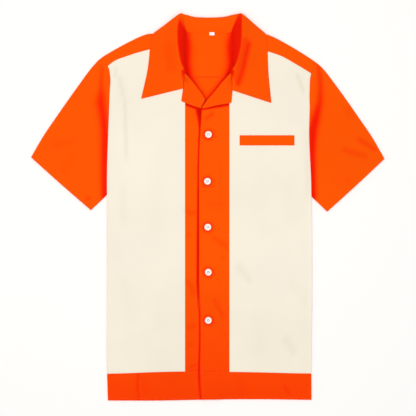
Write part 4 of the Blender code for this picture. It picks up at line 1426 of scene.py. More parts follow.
@dataclass
class Collar(ClothPiece):
    """The one-piece collar, turned down all round: a stand, a roll and a leaf.

    The leaf has a least painted shade everywhere, and rest is its height over the cloth that it lies on.
    The bend is how far the roll's curves leave it level. A leaf goes from under the back to on the front
    between the layers under_layer and upper_from, and thins towards its edge by edge_thin.
    """

    stations: tuple[Station, ...] = ()
    cols: int = 230
    stand_rows: int = 10
    leaf_rows: int = 30
    least_painted_shade: float = 0.07
    rest: float = 2.05
    shortest_run: float = 4.0
    steepest: float = 80.0
    crown_dip: float = 0.25
    bend_share: float = 0.45
    longest_bend: float = 7.0
    fold_clear: float = 1.0
    fold_ease: float = 13.0
    under_layer: float = 0.3
    roll_share: float = 0.25
    upper_from: float = 0.5
    upper_ease: float = 0.4
    edge_rows: float = 4.0
    edge_thin: float = 0.15
    # The stand leans sideways beside the neck, and its foot is turned in above the lapels' top.
    side_from: float = 0.3
    side_ease: float = 0.35
    foot: float = 3.2
    foot_least: float = 0.4
    foot_rise: float = 0.75
    lapel_top: float = 268.0
    lapel_ease: float = 16.0
    # Painted shade on the stand beside the neck: where it starts and its ease, its depth, and how much less
    # it is at the lit crown.
    stand_low: float = 256.0
    stand_ease: float = 22.0
    stand_shade_depth: float = 1.35
    crown_light: float = 0.6
    crown_share: float = 0.25

    def rows(self) -> dict[str, Array]:
        """The stations read along the collar, close enough for smooth curves.

        Returns:
            Each part of a station, with one row for each column of the grid.
        """
        knots = np.array([[*s.neck, *s.roll, *s.edge, s.layer, s.tilt] for s in self.stations])
        middle = (knots[:, 0:2] + knots[:, 3:5] + knots[:, 6:8]) / 3.0
        chord = np.r_[0.0, np.cumsum(np.linalg.norm(np.diff(middle, axis=0), axis=1) + self.shortest_run)]
        at = np.interp(shares(self.cols) * (len(knots) - 1), np.arange(len(knots)), chord)
        read = hermite(knots, chord, at)
        return {"neck": read[:, 0:3], "roll": read[:, 3:6], "edge": read[:, 6:8],
                "layer": np.clip(read[:, 8], 0.0, 1.0),
                "tilt": np.radians(np.clip(read[:, 9], 0.0, self.steepest))}

    def grid(self) -> Grid:
        """Sections of two cubic curves: up from the neck edge to the roll, and down to the edge.

        Returns:
            The middle of the cloth, with the sections as its columns.
        """
        cut = self.lie.pattern
        read = self.rows()
        neck, roll, layer = read["neck"], read["roll"], read["layer"]
        lying = self.wall / 2.0
        on_front = self.lie.front_under(read["edge"][:, 0], read["edge"][:, 1], seams=False) + self.rest
        edge = np.column_stack([read["edge"], lying + (on_front - lying) * layer])
        up = np.array([0.0, 0.0, 1.0])
        plan = np.array([1.0, 1.0, 0.0])
        to_roll = unit((roll - neck) * plan)
        to_edge = unit((edge - roll) * plan)
        tilt = read["tilt"][:, None]
        leave = to_roll * np.cos(tilt) + up * np.sin(tilt)
        over = unit(to_roll + to_edge - self.crown_dip * up)
        stand = np.linalg.norm(roll - neck, axis=1)[:, None]
        fall = np.linalg.norm(edge - roll, axis=1)[:, None]
        bend = np.minimum(self.bend_share * stand, self.longest_bend)
        rise = bezier(neck, neck + leave * 0.4 * stand, roll - over * 0.5 * bend, roll,
                      shares(self.stand_rows))
        leaf = bezier(roll, roll + over * 0.6 * bend, edge - to_edge * 0.5 * fall, edge,
                      shares(self.leaf_rows))
        x, y, z = leaf[..., 0], leaf[..., 1], leaf[..., 2]
        beyond = smooth((y - cut.yoke_fold_height(x) - self.fold_clear) / self.fold_ease)
        under = np.clip(1.0 - layer / self.under_layer, 0.0, 1.0)
        leaf[..., 2] = np.maximum(z - (z - lying) * (1.0 - beyond) * under, lying)
        # The leaf's own creases drop it and paint shade on it, as do the gorge's.
        fallen, leaf_painted_shade = self.shade.at(x, y)
        free = shares(self.leaf_rows)[:, None]
        lowest = self.lie.front_under(x, y, seams=False) + self.rest
        dropped = np.maximum(leaf[..., 2] + fallen * smooth(free / self.roll_share), lowest)
        upper = smooth((layer - self.upper_from) / self.upper_ease)
        leaf[..., 2] = leaf[..., 2] + (dropped - leaf[..., 2]) * upper
        sideways = smooth((np.abs(to_roll[:, 0]) - self.side_from) / self.side_ease)
        points = np.vstack([self.sewn_foot(neck, to_roll, sideways)[None], rise, leaf[1:]])
        leaf_painted_shade = np.maximum(leaf_painted_shade * layer, self.least_painted_shade)
        painted_shade = np.vstack([self.stand_painted_shade(rise, sideways), leaf_painted_shade[1:]])
        inner = np.minimum(1.0, np.arange(len(points))[::-1] / self.edge_rows)[:, None]
        return Grid(points, self.wall * (1.0 - self.edge_thin + self.edge_thin * inner), painted_shade)

    def sewn_foot(self, neck: Array, to_roll: Array, sideways: Array) -> Array:
        """The stand's lowest row, turned in over the lower layer; it ends where the lapels begin.

        Args:
            neck: the neck edge.
            to_roll: the direction from it to the roll, in plan.
            sideways: how far the stand leans sideways there, 0 to 1.

        Returns:
            One point for each of the neck edge.
        """
        share = smooth((neck[:, 1] - self.lapel_top) / self.lapel_ease)
        foot = neck - to_roll * (self.foot * share + self.foot_least)[:, None]
        low = self.lie.back_under(foot[:, 0], foot[:, 1]) + self.foot_rise + sideways
        foot[:, 2] = neck[:, 2] * (1.0 - share) + low * share
        return foot

    def stand_painted_shade(self, rise: Array, sideways: Array) -> Array:
        """Painted shade on the stand beside the neck, where its two sides face each other.

        Args:
            rise: the stand's rows of points.
            sideways: how far it leans sideways in each column, 0 to 1.

        Returns:
            Painted shade at the foot and at each row.
        """
        beside = sideways * smooth((rise[0][:, 1] - self.stand_low) / self.stand_ease)
        up = np.r_[0.0, shares(self.stand_rows)][:, None]
        crown = smooth((up - 1.0 + self.crown_share) / self.crown_share)
        return beside[None, :] * (self.stand_shade_depth - self.crown_light * crown)


@dataclass
class Lapel(ClothPiece):
    """A facing turned out as a lapel: a leg in its strip, the roll, and the flap that lies on the strip.

    settle is how far the flap's edge sinks and drop_rate how soon it comes down from the roll. It has a
    least painted shade everywhere, and inside is the painted shade in the roll's hollow.
    """

    side: Side = Side.RIGHT
    stations: tuple[LapelStation, ...] = ()
    cols: int = 44
    flap_rows: int = 18
    roll_rows: int = 12
    leg: float = 1.5
    settle: float = 0.55
    drop_rate: float = 1.3
    least_painted_shade: float = 0.07
    inside: float = 1.3
    inside_share: float = 0.95
    inside_ease: float = 0.4

    def grid(self) -> Grid:
        """Rows: the leg, half a turn of the roll's radius, and the flap easing down to the strip.

        Returns:
            The middle of the cloth.
        """
        cut = self.lie.pattern
        knots = np.array([[*s.roll, s.radius, *s.edge] for s in self.stations])
        steps = np.arange(len(knots), dtype=float)
        at = shares(self.cols) * (len(knots) - 1)
        read = np.column_stack([np.interp(at, steps, knots[:, n]) for n in range(knots.shape[1])])
        roll, radius, edge = read[:, 0:2], read[:, 2], read[:, 3:5]
        run = unit(np.gradient(roll, axis=0))
        inward = np.column_stack([run[:, 1], -run[:, 0]]) * (-self.side.value)
        inward = inward * np.sign((inward * (roll - edge)).sum(axis=1))[:, None]
        base = roll - inward * (radius + cut.cad_wall / 2.0)[:, None]
        leg = base - inward * self.leg
        lie = self.lie.front_middle(self.side, leg[:, 0], leg[:, 1], seams=False)
        rings = [np.column_stack([leg, lie]), np.column_stack([base, lie])]
        for angle in np.radians(np.linspace(-90.0, 90.0, self.roll_rows)[1:]):
            plan = base + inward * (radius * math.cos(angle))[:, None]
            rings.append(np.column_stack([plan, lie + radius * (1.0 + math.sin(angle))]))
        high = rings[-1][:, 2]
        for share in shares(self.flap_rows)[1:]:
            plan = base + (edge - base) * share
            rest = self.lie.front_middle(self.side, plan[:, 0], plan[:, 1], seams=False)
            rest = rest + cut.layer + cut.slack - self.settle * smooth(share)
            drop = smooth(share * self.drop_rate)
            rings.append(np.column_stack([plan, rest * drop + np.maximum(high, rest) * (1.0 - drop)]))
        points = np.array(rings)
        # Painted shade in the roll's hollow, fading out towards the top of the roll.
        below = self.roll_rows * self.inside_share - np.arange(len(rings))
        under = smooth(below / (self.roll_rows * self.inside_ease))[:, None]
        painted_shade = np.maximum(self.shade.at(points[..., 0], points[..., 1])[1], self.least_painted_shade)
        return Grid(points, self.wall, np.maximum(painted_shade, self.inside * under))


@dataclass
class PocketWelt(ClothPiece):
    """The welt of the breast pocket, sewn flat on the wearer's left front, doubled over at its top."""

    x_range: tuple[float, float] = (65.7, 177.2)
    y_range: tuple[float, float] = (126.0, 145.9)
    rows: int = 12
    cols: int = 48
    edge_drop: float = 0.6
    edge_reach: float = 2.4

    def grid(self) -> Grid:
        """A rectangle one layer above the front, its sewn edges pulled down to the cloth.

        Returns:
            The middle of the cloth.
        """
        x = self.x_range[0] + (self.x_range[1] - self.x_range[0]) * shares(self.cols)[None, :]
        y = self.y_range[0] + (self.y_range[1] - self.y_range[0]) * shares(self.rows)[:, None]
        x, y = x + 0.0 * y, y + 0.0 * x
        inset = np.minimum(np.minimum(x - self.x_range[0], self.x_range[1] - x), y - self.y_range[0])
        pulled = self.edge_drop * (1.0 - smooth(inset / self.edge_reach))
        return Grid(stack(x, y, self.lie.middle(x, y, 1.0, seams=False) - pulled), self.wall)


@dataclass
class NeckLabel(ClothPiece):
    """A small blank label lying on the inside of the yoke, just under the neck seam."""

    size: tuple[float, float] = (9.8, 6.0)
    centre: tuple[float, float] = (8.6, 354.6)
    rows: int = 8
    cols: int = 12
    above: float = 1.5
    bow: float = 0.25

    def grid(self) -> Grid:
        """A rectangle on the yoke, bowed up in the middle: bow * (1 - 4u squared) * (1 - 4v squared).

        Returns:
            The middle of the cloth.
        """
        across = shares(self.cols)[None, :] - 0.5
        up = shares(self.rows)[:, None] - 0.5
        x = self.centre[0] + self.size[0] * across + 0.0 * up
        y = self.centre[1] + self.size[1] * up + 0.0 * across
        bowed = self.bow * (1.0 - 4.0 * across * across) * (1.0 - 4.0 * up * up)
        z = self.lie.back_under(x, y) + self.above + self.wall / 2.0 + bowed
        return Grid(stack(x, y, z), self.wall)


@dataclass
class Stitching:
    """Rows of stitches in one thread: each a short bead that dips into the cloth at both ends.

    The centre line of a stitch is lift * (1 - t squared) above the cloth for t from -1 to 1.
    """

    name: str
    finish: Material
    slot: Slot
    pitch: float = 3.2
    length: float = 2.5
    radius: float = 0.2
    lift: float = 0.12
    sunk: float = 0.05
    stations: tuple[float, ...] = (-1.0, -0.72, 0.0, 0.72, 1.0)
    swell: tuple[float, ...] = (0.4, 0.85, 1.0, 0.85, 0.4)
    sides: tuple[float, ...] = (45.0, 135.0, 225.0, 315.0)
    paths: list[tuple[Array, Array]] = field(default_factory=list)

    def sew(self, path: Array, normal: Array) -> None:
        """Add a row of stitches along a close run of points on the cloth's face."""
        self.paths.append((path, normal))

    def sew_inset(self, grid: Grid, *rows: tuple[Rim, float], part: slice = slice(None),
                  under: bool = False) -> None:
        """Add rows that run an even distance in from edges of a piece.

        Args:
            grid: the middle of the piece.
            rows: each edge, and the distance in from it.
            part: the part of the edge that is sewn.
            under: whether the rows are on the lower face.
        """
        for rim, distance in rows:
            path, normal = grid.inset(rim, distance, under)
            self.sew(path[part], normal[part])

    def beads(self, path: Array, up: Array) -> Array:
        """Points of every stitch of a row: even steps along it, four sides round each station.

        Args:
            path: the row's points.
            up: the direction out of the cloth at each.

        Returns:
            Stitches by stations by sides by 3.
        """
        steps = np.linalg.norm(np.diff(path, axis=0), axis=1)
        along = np.r_[0.0, np.cumsum(steps)]
        count = max(1, int(along[-1] / self.pitch))
        centre = (np.arange(count) + 0.5) * along[-1] / count
        station = np.array(self.stations)
        thick = self.radius * np.array(self.swell)
        at = centre[:, None] + station[None, :] * self.length / 2.0
        place = np.stack([np.interp(at, along, path[:, n]) for n in range(3)], axis=-1)
        normal = unit(np.stack([np.interp(at, along, up[:, n]) for n in range(3)], axis=-1))
        run = unit(place[:, -1:] - place[:, :1])
        side = unit(np.cross(np.broadcast_to(run, normal.shape), normal))
        place = place + normal * (self.lift * (1.0 - station ** 2) - self.sunk)[None, :, None]
        turn = np.radians(self.sides)
        ring = side[:, :, None] * np.cos(turn)[:, None] + normal[:, :, None] * np.sin(turn)[:, None]
        return place[:, :, None] + ring * thick[None, :, None, None]

    def build(self) -> None:
        """Join every row into one object."""
        beads = np.concatenate([self.beads(path, up) for path, up in self.paths])
        count, stations, sides = beads.shape[:3]
        index = np.arange(stations * sides).reshape(stations, sides)
        index = np.hstack([index, index[:, :1]])
        around = np.stack([index[:-1, :-1], index[:-1, 1:], index[1:, 1:], index[1:, :-1]], axis=-1)
        one = np.vstack([around.reshape(-1, 4), index[0, 3::-1], index[-1, :4]])
        faces = (one[None] + (np.arange(count) * stations * sides)[:, None, None]).reshape(-1, 4)
        points = beads.reshape(-1, 3)
        shell = Shell(points, faces, np.zeros(len(points)), np.zeros((len(faces), 4, 2)))
        made = place_object(self.name, make_mesh(self.name, shell, self.finish))
        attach(made, BODY)
        log.info("%s: %d stitches", made.name, count)


@dataclass
class Button:
    """A turned button with a raised rim, a dished face and four holes, and the thread through them.

    Painted shade darkens the face in a ring: dish_shade * exp(-((r - dish_share * hole_pitch) /
    dish_width) squared), at r from the axis, and in the holes. thread_height and strand_shift place the
    four strands.
    """

    lie: Lie
    finish: Material
    thread: Material
    node: str
    centre: tuple[float, float]
    radius: float = 7.0
    face_rings: int = 24
    face_radius: float = 4.6
    face_height: float = 1.75
    middle: float = 0.05
    hole_radius: float = 0.8
    hole_ease: float = 0.22
    hole_depth: float = 1.3
    hole_pitch: float = 2.9
    dish_shade: float = 0.34
    dish_share: float = 0.72
    dish_width: float = 1.1
    turn: float = 0.0
    segments: int = 56
    above: float = 0.45
    thread_height: float = 1.35
    strand_shift: float = 0.22

    def profile(self) -> Array:
        """Half a section, from the middle of the face over the rim to the middle of the underside.

        Returns:
            Distance from the button's axis and height, for each ring.
        """
        out = np.linspace(self.middle, self.face_radius, self.face_rings)
        face = np.column_stack([out, np.full(self.face_rings, self.face_height)])
        rim = [(4.9, 1.8), (5.2, 2.1), (5.5, 2.5), (5.9, 2.6), (6.4, 2.55), (6.8, 2.2), (self.radius, 1.6),
               (6.85, 1.0), (6.4, 0.5), (5.2, 0.1), (4.0, 0.0), (self.middle, 0.0)]
        return np.vstack([face, rim])

    def seat(self) -> float:
        """Height of the button's underside: over the highest of 5 by 5 places of the strip under it.

        Returns:
            The height.
        """
        spread = self.radius * np.linspace(-0.8, 0.8, 5)
        x, y = np.meshgrid(self.centre[0] + spread, self.centre[1] + spread)
        return float(self.lie.front_middle(Side.LEFT, x, y).max()) + self.above

    def holes(self) -> Array:
        """Centres of the four holes, in plan about the button's own middle."""
        angle = self.turn + np.pi * (0.25 + 0.5 * np.arange(4))
        return self.hole_pitch / math.sqrt(2.0) * np.column_stack([np.cos(angle), np.sin(angle)])

    def build(self) -> None:
        """Turn the profile round its axis, sink the holes into the face and put the thread across."""
        profile = self.profile()
        around = np.linspace(0.0, 2.0 * math.pi, self.segments, endpoint=False)
        x = profile[:, :1] * np.cos(around)
        y = profile[:, :1] * np.sin(around)
        z = profile[:, 1:] + 0.0 * x
        holes = self.holes()
        away = np.hypot(x[..., None] - holes[:, 0], y[..., None] - holes[:, 1]).min(axis=-1)
        on_face = np.arange(len(profile))[:, None] < self.face_rings
        wall = smooth((away - self.hole_radius + self.hole_ease) / self.hole_ease)
        # The holes sink by this share, and it is also their painted shade; the dish's ring is painted
        # shade.
        sunk = np.where(on_face, 1.0 - wall, 0.0)
        ring = (profile[:, :1] - self.hole_pitch * self.dish_share) / self.dish_width
        painted_shade = np.maximum(sunk, np.where(on_face, np.exp(-ring ** 2) * self.dish_shade, 0.0))
        base = self.seat()
        points = stack(x + self.centre[0], y + self.centre[1], z - self.hole_depth * sunk + base)
        rows = len(profile)
        index = np.arange(rows * self.segments).reshape(rows, self.segments)
        index = np.hstack([index, index[:, :1]])
        faces = np.stack([index[:-1, :-1], index[1:, :-1], index[1:, 1:], index[:-1, 1:]], axis=-1)
        caps = [index[0, :-1].tolist(), index[-1, -2::-1].tolist()]
        shell = Shell(points.reshape(-1, 3), faces.reshape(-1, 4).tolist() + caps, painted_shade.reshape(-1))
        made = place_object(self.node + "_turned", make_mesh(self.node, shell, self.finish))
        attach(made, BODY)
        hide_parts(self.node)
        strands = Stitching(self.node + "_thread", self.thread, Slot.BUTTONS, pitch=10.0, length=3.3,
                            radius=0.26, lift=0.75)
        level = base + self.thread_height
        for first, last in ((0, 3), (1, 2)):
            for shift in (-self.strand_shift, self.strand_shift):
                ends = holes[[first, last]] + np.array([shift, shift * 0.4])
                path = np.column_stack([ends + np.array(self.centre), [level, level]])
                strands.sew(path, np.tile((0.0, 0.0, 1.0), (2, 1)))
        strands.build()
        log.info("%s: %d faces", made.name, len(made.data.polygons))


@dataclass
class Studio:
    """A pale floor under soft light from all round, a little stronger from over the collar."""

    floor_colour: str = "#fdfcf9"
    floor_glow: float = 0.03
    world_strength: float = 0.47
    soft_power: float = 46.0
    soft_size: float = 4.4
    soft_place: tuple[float, float, float] = (0.0, -0.3, 3.0)
    key_power: float = 12.0
    key_size: float = 1.6
    key_place: tuple[float, float, float] = (-0.3, 0.6, 2.1)
    camera_place: tuple[float, float, float] = (0.0005, -0.0026, 2.4)
    view_width: float = 0.8528
    garment_height: float = 0.004
    sensor: float = 36.0

    def build(self) -> None:
        """Make the floor, the lights and the camera."""
        self.floor()
        self.lights()
        self.camera()
        scene = bpy.context.scene
        scene.view_settings.view_transform = "Standard"
        log.info("studio: floor, world, key light and camera")

    def floor(self) -> None:
        """A matt sheet of paper on a faintly lit table, larger than any view of the shirt."""
        mesh = bpy.data.meshes.new("floor")
        reach, low = 6.0, -0.0003
        mesh.from_pydata([(-reach, -reach, low), (reach, -reach, low), (reach, reach, low),
                          (-reach, reach, low)], [], [(0, 1, 2, 3)])
        finish, _, _ = new_material("seamless_paper", {
            "Base Color": linear(self.floor_colour), "Roughness": 0.95, "Specular IOR Level": 0.1,
            "Emission Color": linear(self.floor_colour), "Emission Strength": self.floor_glow})
        mesh.materials.append(finish)
        place_object("floor", mesh)

    def lights(self) -> None:
        """An even white surround, a very large light overhead, and a smaller one to shape the folds."""
        world = bpy.data.worlds.new("surround")
        world.use_nodes = True
        shade = world.node_tree.nodes["Background"]
        shade.inputs["Color"].default_value = linear("#ffffff")
        shade.inputs["Strength"].default_value = self.world_strength
        bpy.context.scene.world = world
        self.lamp("overhead", self.soft_place, self.soft_size, self.soft_power)
        self.lamp("key", self.key_place, self.key_size, self.key_power)

    def lamp(self, name: str, place: tuple[float, float, float], size: float, power: float) -> None:
        """A round soft light that faces the origin.

        Args:
            name: the lamp's name.
            place: where it stands, in metres.
            size: its width, in metres.
            power: its power, in watts.
        """
        light = bpy.data.lights.new(name, "AREA")
        light.shape = "DISK"
        light.size = size
        light.energy = power
        made = place_object(name, light)
        made.location = place
        made.rotation_euler = (-Vector(place)).to_track_quat("-Z", "Y").to_euler()

    def camera(self) -> None:
        """Straight down from well above, so that the shirt fills the frame as it lies."""
        lens = bpy.data.cameras.new("camera")
        lens.sensor_width = self.sensor
        lens.lens = self.sensor * (self.camera_place[2] - self.garment_height) / self.view_width
        lens.clip_end = 50.0
        made = place_object("camera", lens)
        made.location = self.camera_place
        bpy.context.scene.camera = made


# ---- this shirt -----------------------------------------------------------------------------------
def crease_rows(*rows: tuple) -> tuple[Crease, ...]:
    """Creases from a table, each row with the values of one crease in order."""
    return tuple(Crease(*row) for row in rows)


WHOLE = (0.0, 0.0)                # no fade: the crease is as deep at its ends
BUTTON_CENTRES = ((1.4, 147.9), (-0.6, 52), (0.1, -41.7), (1.2, -134), (1.2, -232.6))
# Troughs and ridges of the upper layer, with painted shade along the troughs.
BODY_CREASES_AND_SHADE = Creases(crease_rows(
    # Wearer's right sleeve: a trough that winds down to the armhole, and a ridge beside it.
    (((-217.8, 296), (-217.8, 262), (-218.4, 242), (-219.6, 224), (-218.6, 208),
      (-215, 190), (-212, 168), (-211.4, 120), (-212.4, 70), (-212, 20)),
     (3.6, 4.2, 6, 10, 11, 10.5, 10, 9.5, 8.5, 7.5),
     (-0.6, -0.9, -1.1, -1.3, -1.3, -1.3, -1.3, -1.3, -1.3, -1.2),
     (0.35, 0.55, 0.65, 0.9, 0.95, 0.95, 1, 1, 1, 1), (0.04, 0)),
    (((-208, 176), (-206.6, 140), (-207.6, 80), (-208.6, 20)), 4, -0.5,
     (0.6, 1.2, 1.15, 1.3), (0.2, 0)),
    (((-205.6, 278), (-205.8, 230), (-204.6, 168)), 3.6, 1.3, 0),
    (((-326, 124.5), (-300, 128), (-267, 137.5)), 8, -0.9, 0.14),
    (((-246, 24), (-244, 12)), 5.5, -0.9, 0.35),
    (((-300, 60), (-282, 96), (-276, 120)), 11, -0.7, 0.08),
    (((-258, 168), (-240, 120), (-233, 78)), 16, 0.9, 0),
    # Wearer's left sleeve: a long trough that winds down to the armhole, and creases at the cuff.
    (((225.5, 298), (229, 272), (231.4, 246), (231.4, 222), (227, 200), (219.5, 176),
      (214.6, 150), (213, 112), (213.6, 66), (215, 20)),
     (4, 5.8, 6.4, 7.6, 8.6, 10.5, 10.5, 9.5, 9, 8.5),
     (-0.7, -1, -1.1, -1.2, -1.3, -1.4, -1.3, -1.3, -1.3, -1.2),
     (0.4, 0.65, 0.7, 0.8, 1, 1.2, 1.3, 1.25, 1.25, 1.2), (0.04, 0)),
    (((219, 268), (220, 222), (216, 186)), 6, 1.1, 0),
    (((300, 144), (320, 132), (342, 118)), 5.5, -1, 0.45, (0.3, 0)),
    (((268, 121), (294, 112), (322, 104)), 6.5, -0.8, 0.32, (0.3, 0)),
    (((281, 210), (290, 194), (298, 176)), 11, -0.8, 0.14),
    (((250, 60), (276, 52), (300, 58)), 9, -0.6, 0.1),
    (((244, 180), (252, 130), (246, 84)), 15, 0.8, 0),
    # Wearer's right front.
    (((-182, 276), (-176, 240), (-172, 212)), 6, -0.9, 0.25),
    (((-171.6, 250), (-168.8, 170), (-166.4, 78)), 4, -1, 0.3),
    (((-190, 290), (-189, 262)), 4.5, -0.8, 0.3),
    (((-168, 262), (-164, 210), (-158, 170)), 8, 0.8, 0),
    (((-172, 58), (-174, 10), (-170, -52)), 10, -0.8, 0.14),
    (((-92, 120), (-104, 40), (-98, -60)), 20, -0.5, 0.06),
    (((-70, -150), (-96, -210), (-88, -280)), 17, -0.7, 0.08),
    (((-186, -120), (-160, -190), (-164, -262)), 15, -0.6, 0.08),
    (((-60, 210), (-82, 196), (-120, 198)), 9, -0.5, 0.06),
    # Wearer's left front.
    (((189, 282), (197, 258), (207, 232)), 4.2, 0.9, 0),
    (((180, 280), (190, 254), (201, 226)), 4.2, -1, 0.34),
    (((56, -110), (74, -136), (98, -162)), 9, -1, 0.2),
    (((152, -264), (168, -284), (184, -310)), 11, -1.1, 0.2),
    (((178, 90), (170, 20), (182, -60)), 13, -0.6, 0.08),
    (((120, 60), (108, -10), (122, -80)), 19, -0.5, 0.06),
    (((90, -210), (110, -262), (100, -322)), 14, -0.7, 0.08),
    (((160, -150), (190, -176), (206, -210)), 11, -0.6, 0.1),
    # Front strips.
    (((-45, -8), (-34, -14), (-20, -9)), 5, -0.9, 0.3, (0, 0.2)),
    (((-46, -58), (-32, -56)), 5, -0.6, 0.2),
    (((-45, -152), (-34, -164), (-27, -188)), 6.5, -0.9, 0.28, (0.1, 0.3)),
    (((-46, -250), (-32, -246), (-20, -241)), 5, -0.9, 0.3),
    (((-44, -284), (-28, -282)), 5, -0.7, 0.22),
    (((-40, -331), (-30, -327), (-20, -321.5)), 3, -1.1, 0.42),
    (((-41, -336), (-28, -336), (-18, -332)), 2.2, -0.5, 0.2),
    (((27, -68), (36, -80), (44, -90)), 4.5, -0.9, 0.25),
    (((26, -101), (37, -109)), 4.5, -0.6, 0.15),
    (((6, -56), (20, -70), (37, -82)), 6, -0.9, 0.24),
    (((9, -181), (22, -206), (38, -234)), 5.5, -0.9, 0.26),
    (((16, 195), (4, 186), (-8.5, 176)), 4.4, -1, 0.45),
    (((-10.6, 174), (-7, 170)), 3, -0.5, 0.3),
    (((-12.5, -262), (-8.5, -264.5)), 2.6, -0.5, 0.3),
    (((-9.6, -287), (-5.6, -289)), 2.4, -0.5, 0.26),
    (((31, -261), (35.6, -265)), 2.6, -0.5, 0.26),
    (((-8, 10), (14, 2), (36, 12)), 8, -0.5, 0.1),
    # Hem bands.
    (((-143, -344), (-144, -368), (-142, -394)), 3.2, -1.2, 0.5, WHOLE),
    (((-129, -346), (-128, -390)), 6, -0.7, 0.16),
    (((155, -364), (162, -376), (170, -388)), 4.2, -1.1, 0.4),
    (((60, -352), (70, -372), (66, -392)), 9, -0.6, 0.12),
    (((-80, -350), (-70, -374)), 8, -0.5, 0.1),
))
# Painted shade only: where one layer shades the layer below it, and round each button. The line beside
# the front edge is as wide as the edge stands off, which changes from button to button.
EDGE_LINE = tuple((x - 1.3, y) for x, y in Pattern().front_edge)
UNDER_SHADE = Creases(crease_rows(
    (EDGE_LINE, (1.7, 2.4, 1.6, 1.5, 2.4, 3.2, 3.2, 2.5, 1.6, 1.7, 2.8, 3.4), 0,
     (1.4, 1.85, 1.5, 1.5, 1.85, 2, 2, 1.75, 1.5, 1.6, 1.95, 2), WHOLE),
    (((-18.5, 206), (-18, 192), (-17, 178), (-17.2, 164)), (7, 5.4, 3.4, 2), 0,
     (2, 2, 1.8, 1.5), WHOLE),
    (((-54, 214), (-30, 204.8), (-14, 199.6)), (2.8, 3, 3.8), 0, (1.9, 1.9, 2), WHOLE),
    (((-2, 216), (-12, 204)), 5, 0, 2, WHOLE),
))
OVER_SHADE = Creases(crease_rows(
    (tuple(Pattern().front_edge), (0.9, 1.2, 0.9, 0.9, 1.1, 1.3, 1.3, 1.1, 0.9, 0.9, 1.4, 2), 0,
     1, WHOLE),
    (((-10, 200.6), (20, 206.4), (48.2, 210.8)), (2.6, 3.2, 2.8), 0, (2, 2, 1.8), WHOLE),
) + tuple(Crease(((x - 0.6, y), (x + 0.6, y - 0.4)), 8.2, 0, 1.9, WHOLE) for x, y in BUTTON_CENTRES))
# Painted shade inside the neck: beside the stand's two sides, and along the back yoke seam.
NECK_SHADE = Creases(crease_rows(
    (((-44, 368), (-43.5, 330), (-44, 280), (-38, 262), (-8, 222)),
     (8, 11, 12, 11, 8), 0, (0.8, 1.35, 1.4, 1.2, 0.8), WHOLE),
    (((49, 366), (48.5, 330), (49, 280), (40, 262), (-2, 218)),
     (8, 11, 12, 11, 8), 0, (0.8, 1.35, 1.4, 1.2, 0.8), WHOLE),
    (((-42, 266), (46, 266)), 1.5, 0, 0.4, WHOLE),
    (((-43, 272), (-36.6, 264.2), (-17.6, 240.6), (-4, 219)), (8, 5, 3.8, 4.2), 0,
     (1.9, 1.5, 0.8, 1.1), WHOLE),
    (((44.4, 272.6), (37.6, 265.6), (14, 237.6), (-5, 213)), (8, 5, 4.2, 4.4), 0,
     (1.9, 1.5, 1, 1.1), WHOLE),
))
# The outside of the lower layer, which stands off the surface by a little in its creases, with painted
# shade in them and along its seams. The first is the back yoke seam.
BACK_CREASES_AND_SHADE = Creases(crease_rows(
    (((-199, 266), (-60, 266), (80, 266), (208, 266)), 1.6, 0, 0.6, WHOLE),
    (((-188, 232), (-176, 150), (-180, 60)), 9, 0.22, 0.3),
    (((-150, 246), (-138, 190), (-142, 128)), 6, 0.16, 0.2),
    (((190, 238), (182, 168), (190, 88)), 8, 0.2, 0.3),
    (((148, 250), (160, 204), (154, 150)), 6.5, 0.15, 0.2),
    (((-40, 250), (-52, 120), (-34, -40)), 14, 0.24, 0.14),
    (((62, 226), (76, 90), (58, -30)), 12, 0.22, 0.14),
    (((-120, -60), (-96, -150), (-104, -260)), 15, 0.24, 0.14),
    (((20, -120), (8, -200), (22, -300)), 12, 0.2, 0.12),
    (((140, -70), (128, -170), (146, -280)), 14, 0.24, 0.14),
    (((-186, -200), (-176, -290), (-182, -360)), 7, 0.15, 0.2),
    (((178, -300), (162, -340), (170, -372)), 6, 0.15, 0.25),
    (((-232, 250), (-262, 190), (-280, 120)), 9, 0, 0.25),
    (((-244, 60), (-268, 84), (-300, 92)), 7, 0, 0.2),
    (((236, 240), (250, 180), (284, 120)), 10, 0, 0.25),
    (((252, 52), (286, 70), (318, 78)), 7, 0, 0.2),
    (((-203, 220), (-208, 110), (-210, 24)), 5, 0, 0.5, (0.4, 0)),
    (((211, 210), (212, 100), (214, 20)), 5, 0, 0.5, (0.4, 0)),
    (((-140, 330), (-112, 312), (-96, 280)), 7, 0, 0.18),
    (((150, 324), (126, 306), (118, 276)), 8, 0, 0.18),
))
# Painted shade at the gorge, where each lapel meets the collar.
GORGE_SHADE = Creases(crease_rows(
    (((-49.6, 277), (-50.4, 262), (-50.6, 241)), (3.2, 2.4, 1.6), 0, (1.9, 1.4, 0.8), WHOLE),
    (((50.4, 277), (50.8, 260), (50.4, 237)), (3.2, 2.4, 1.6), 0, (1.9, 1.4, 0.8), WHOLE),
    (((-44.5, 261), (-41, 257)), 4.6, 0, 0.3, WHOLE),
))
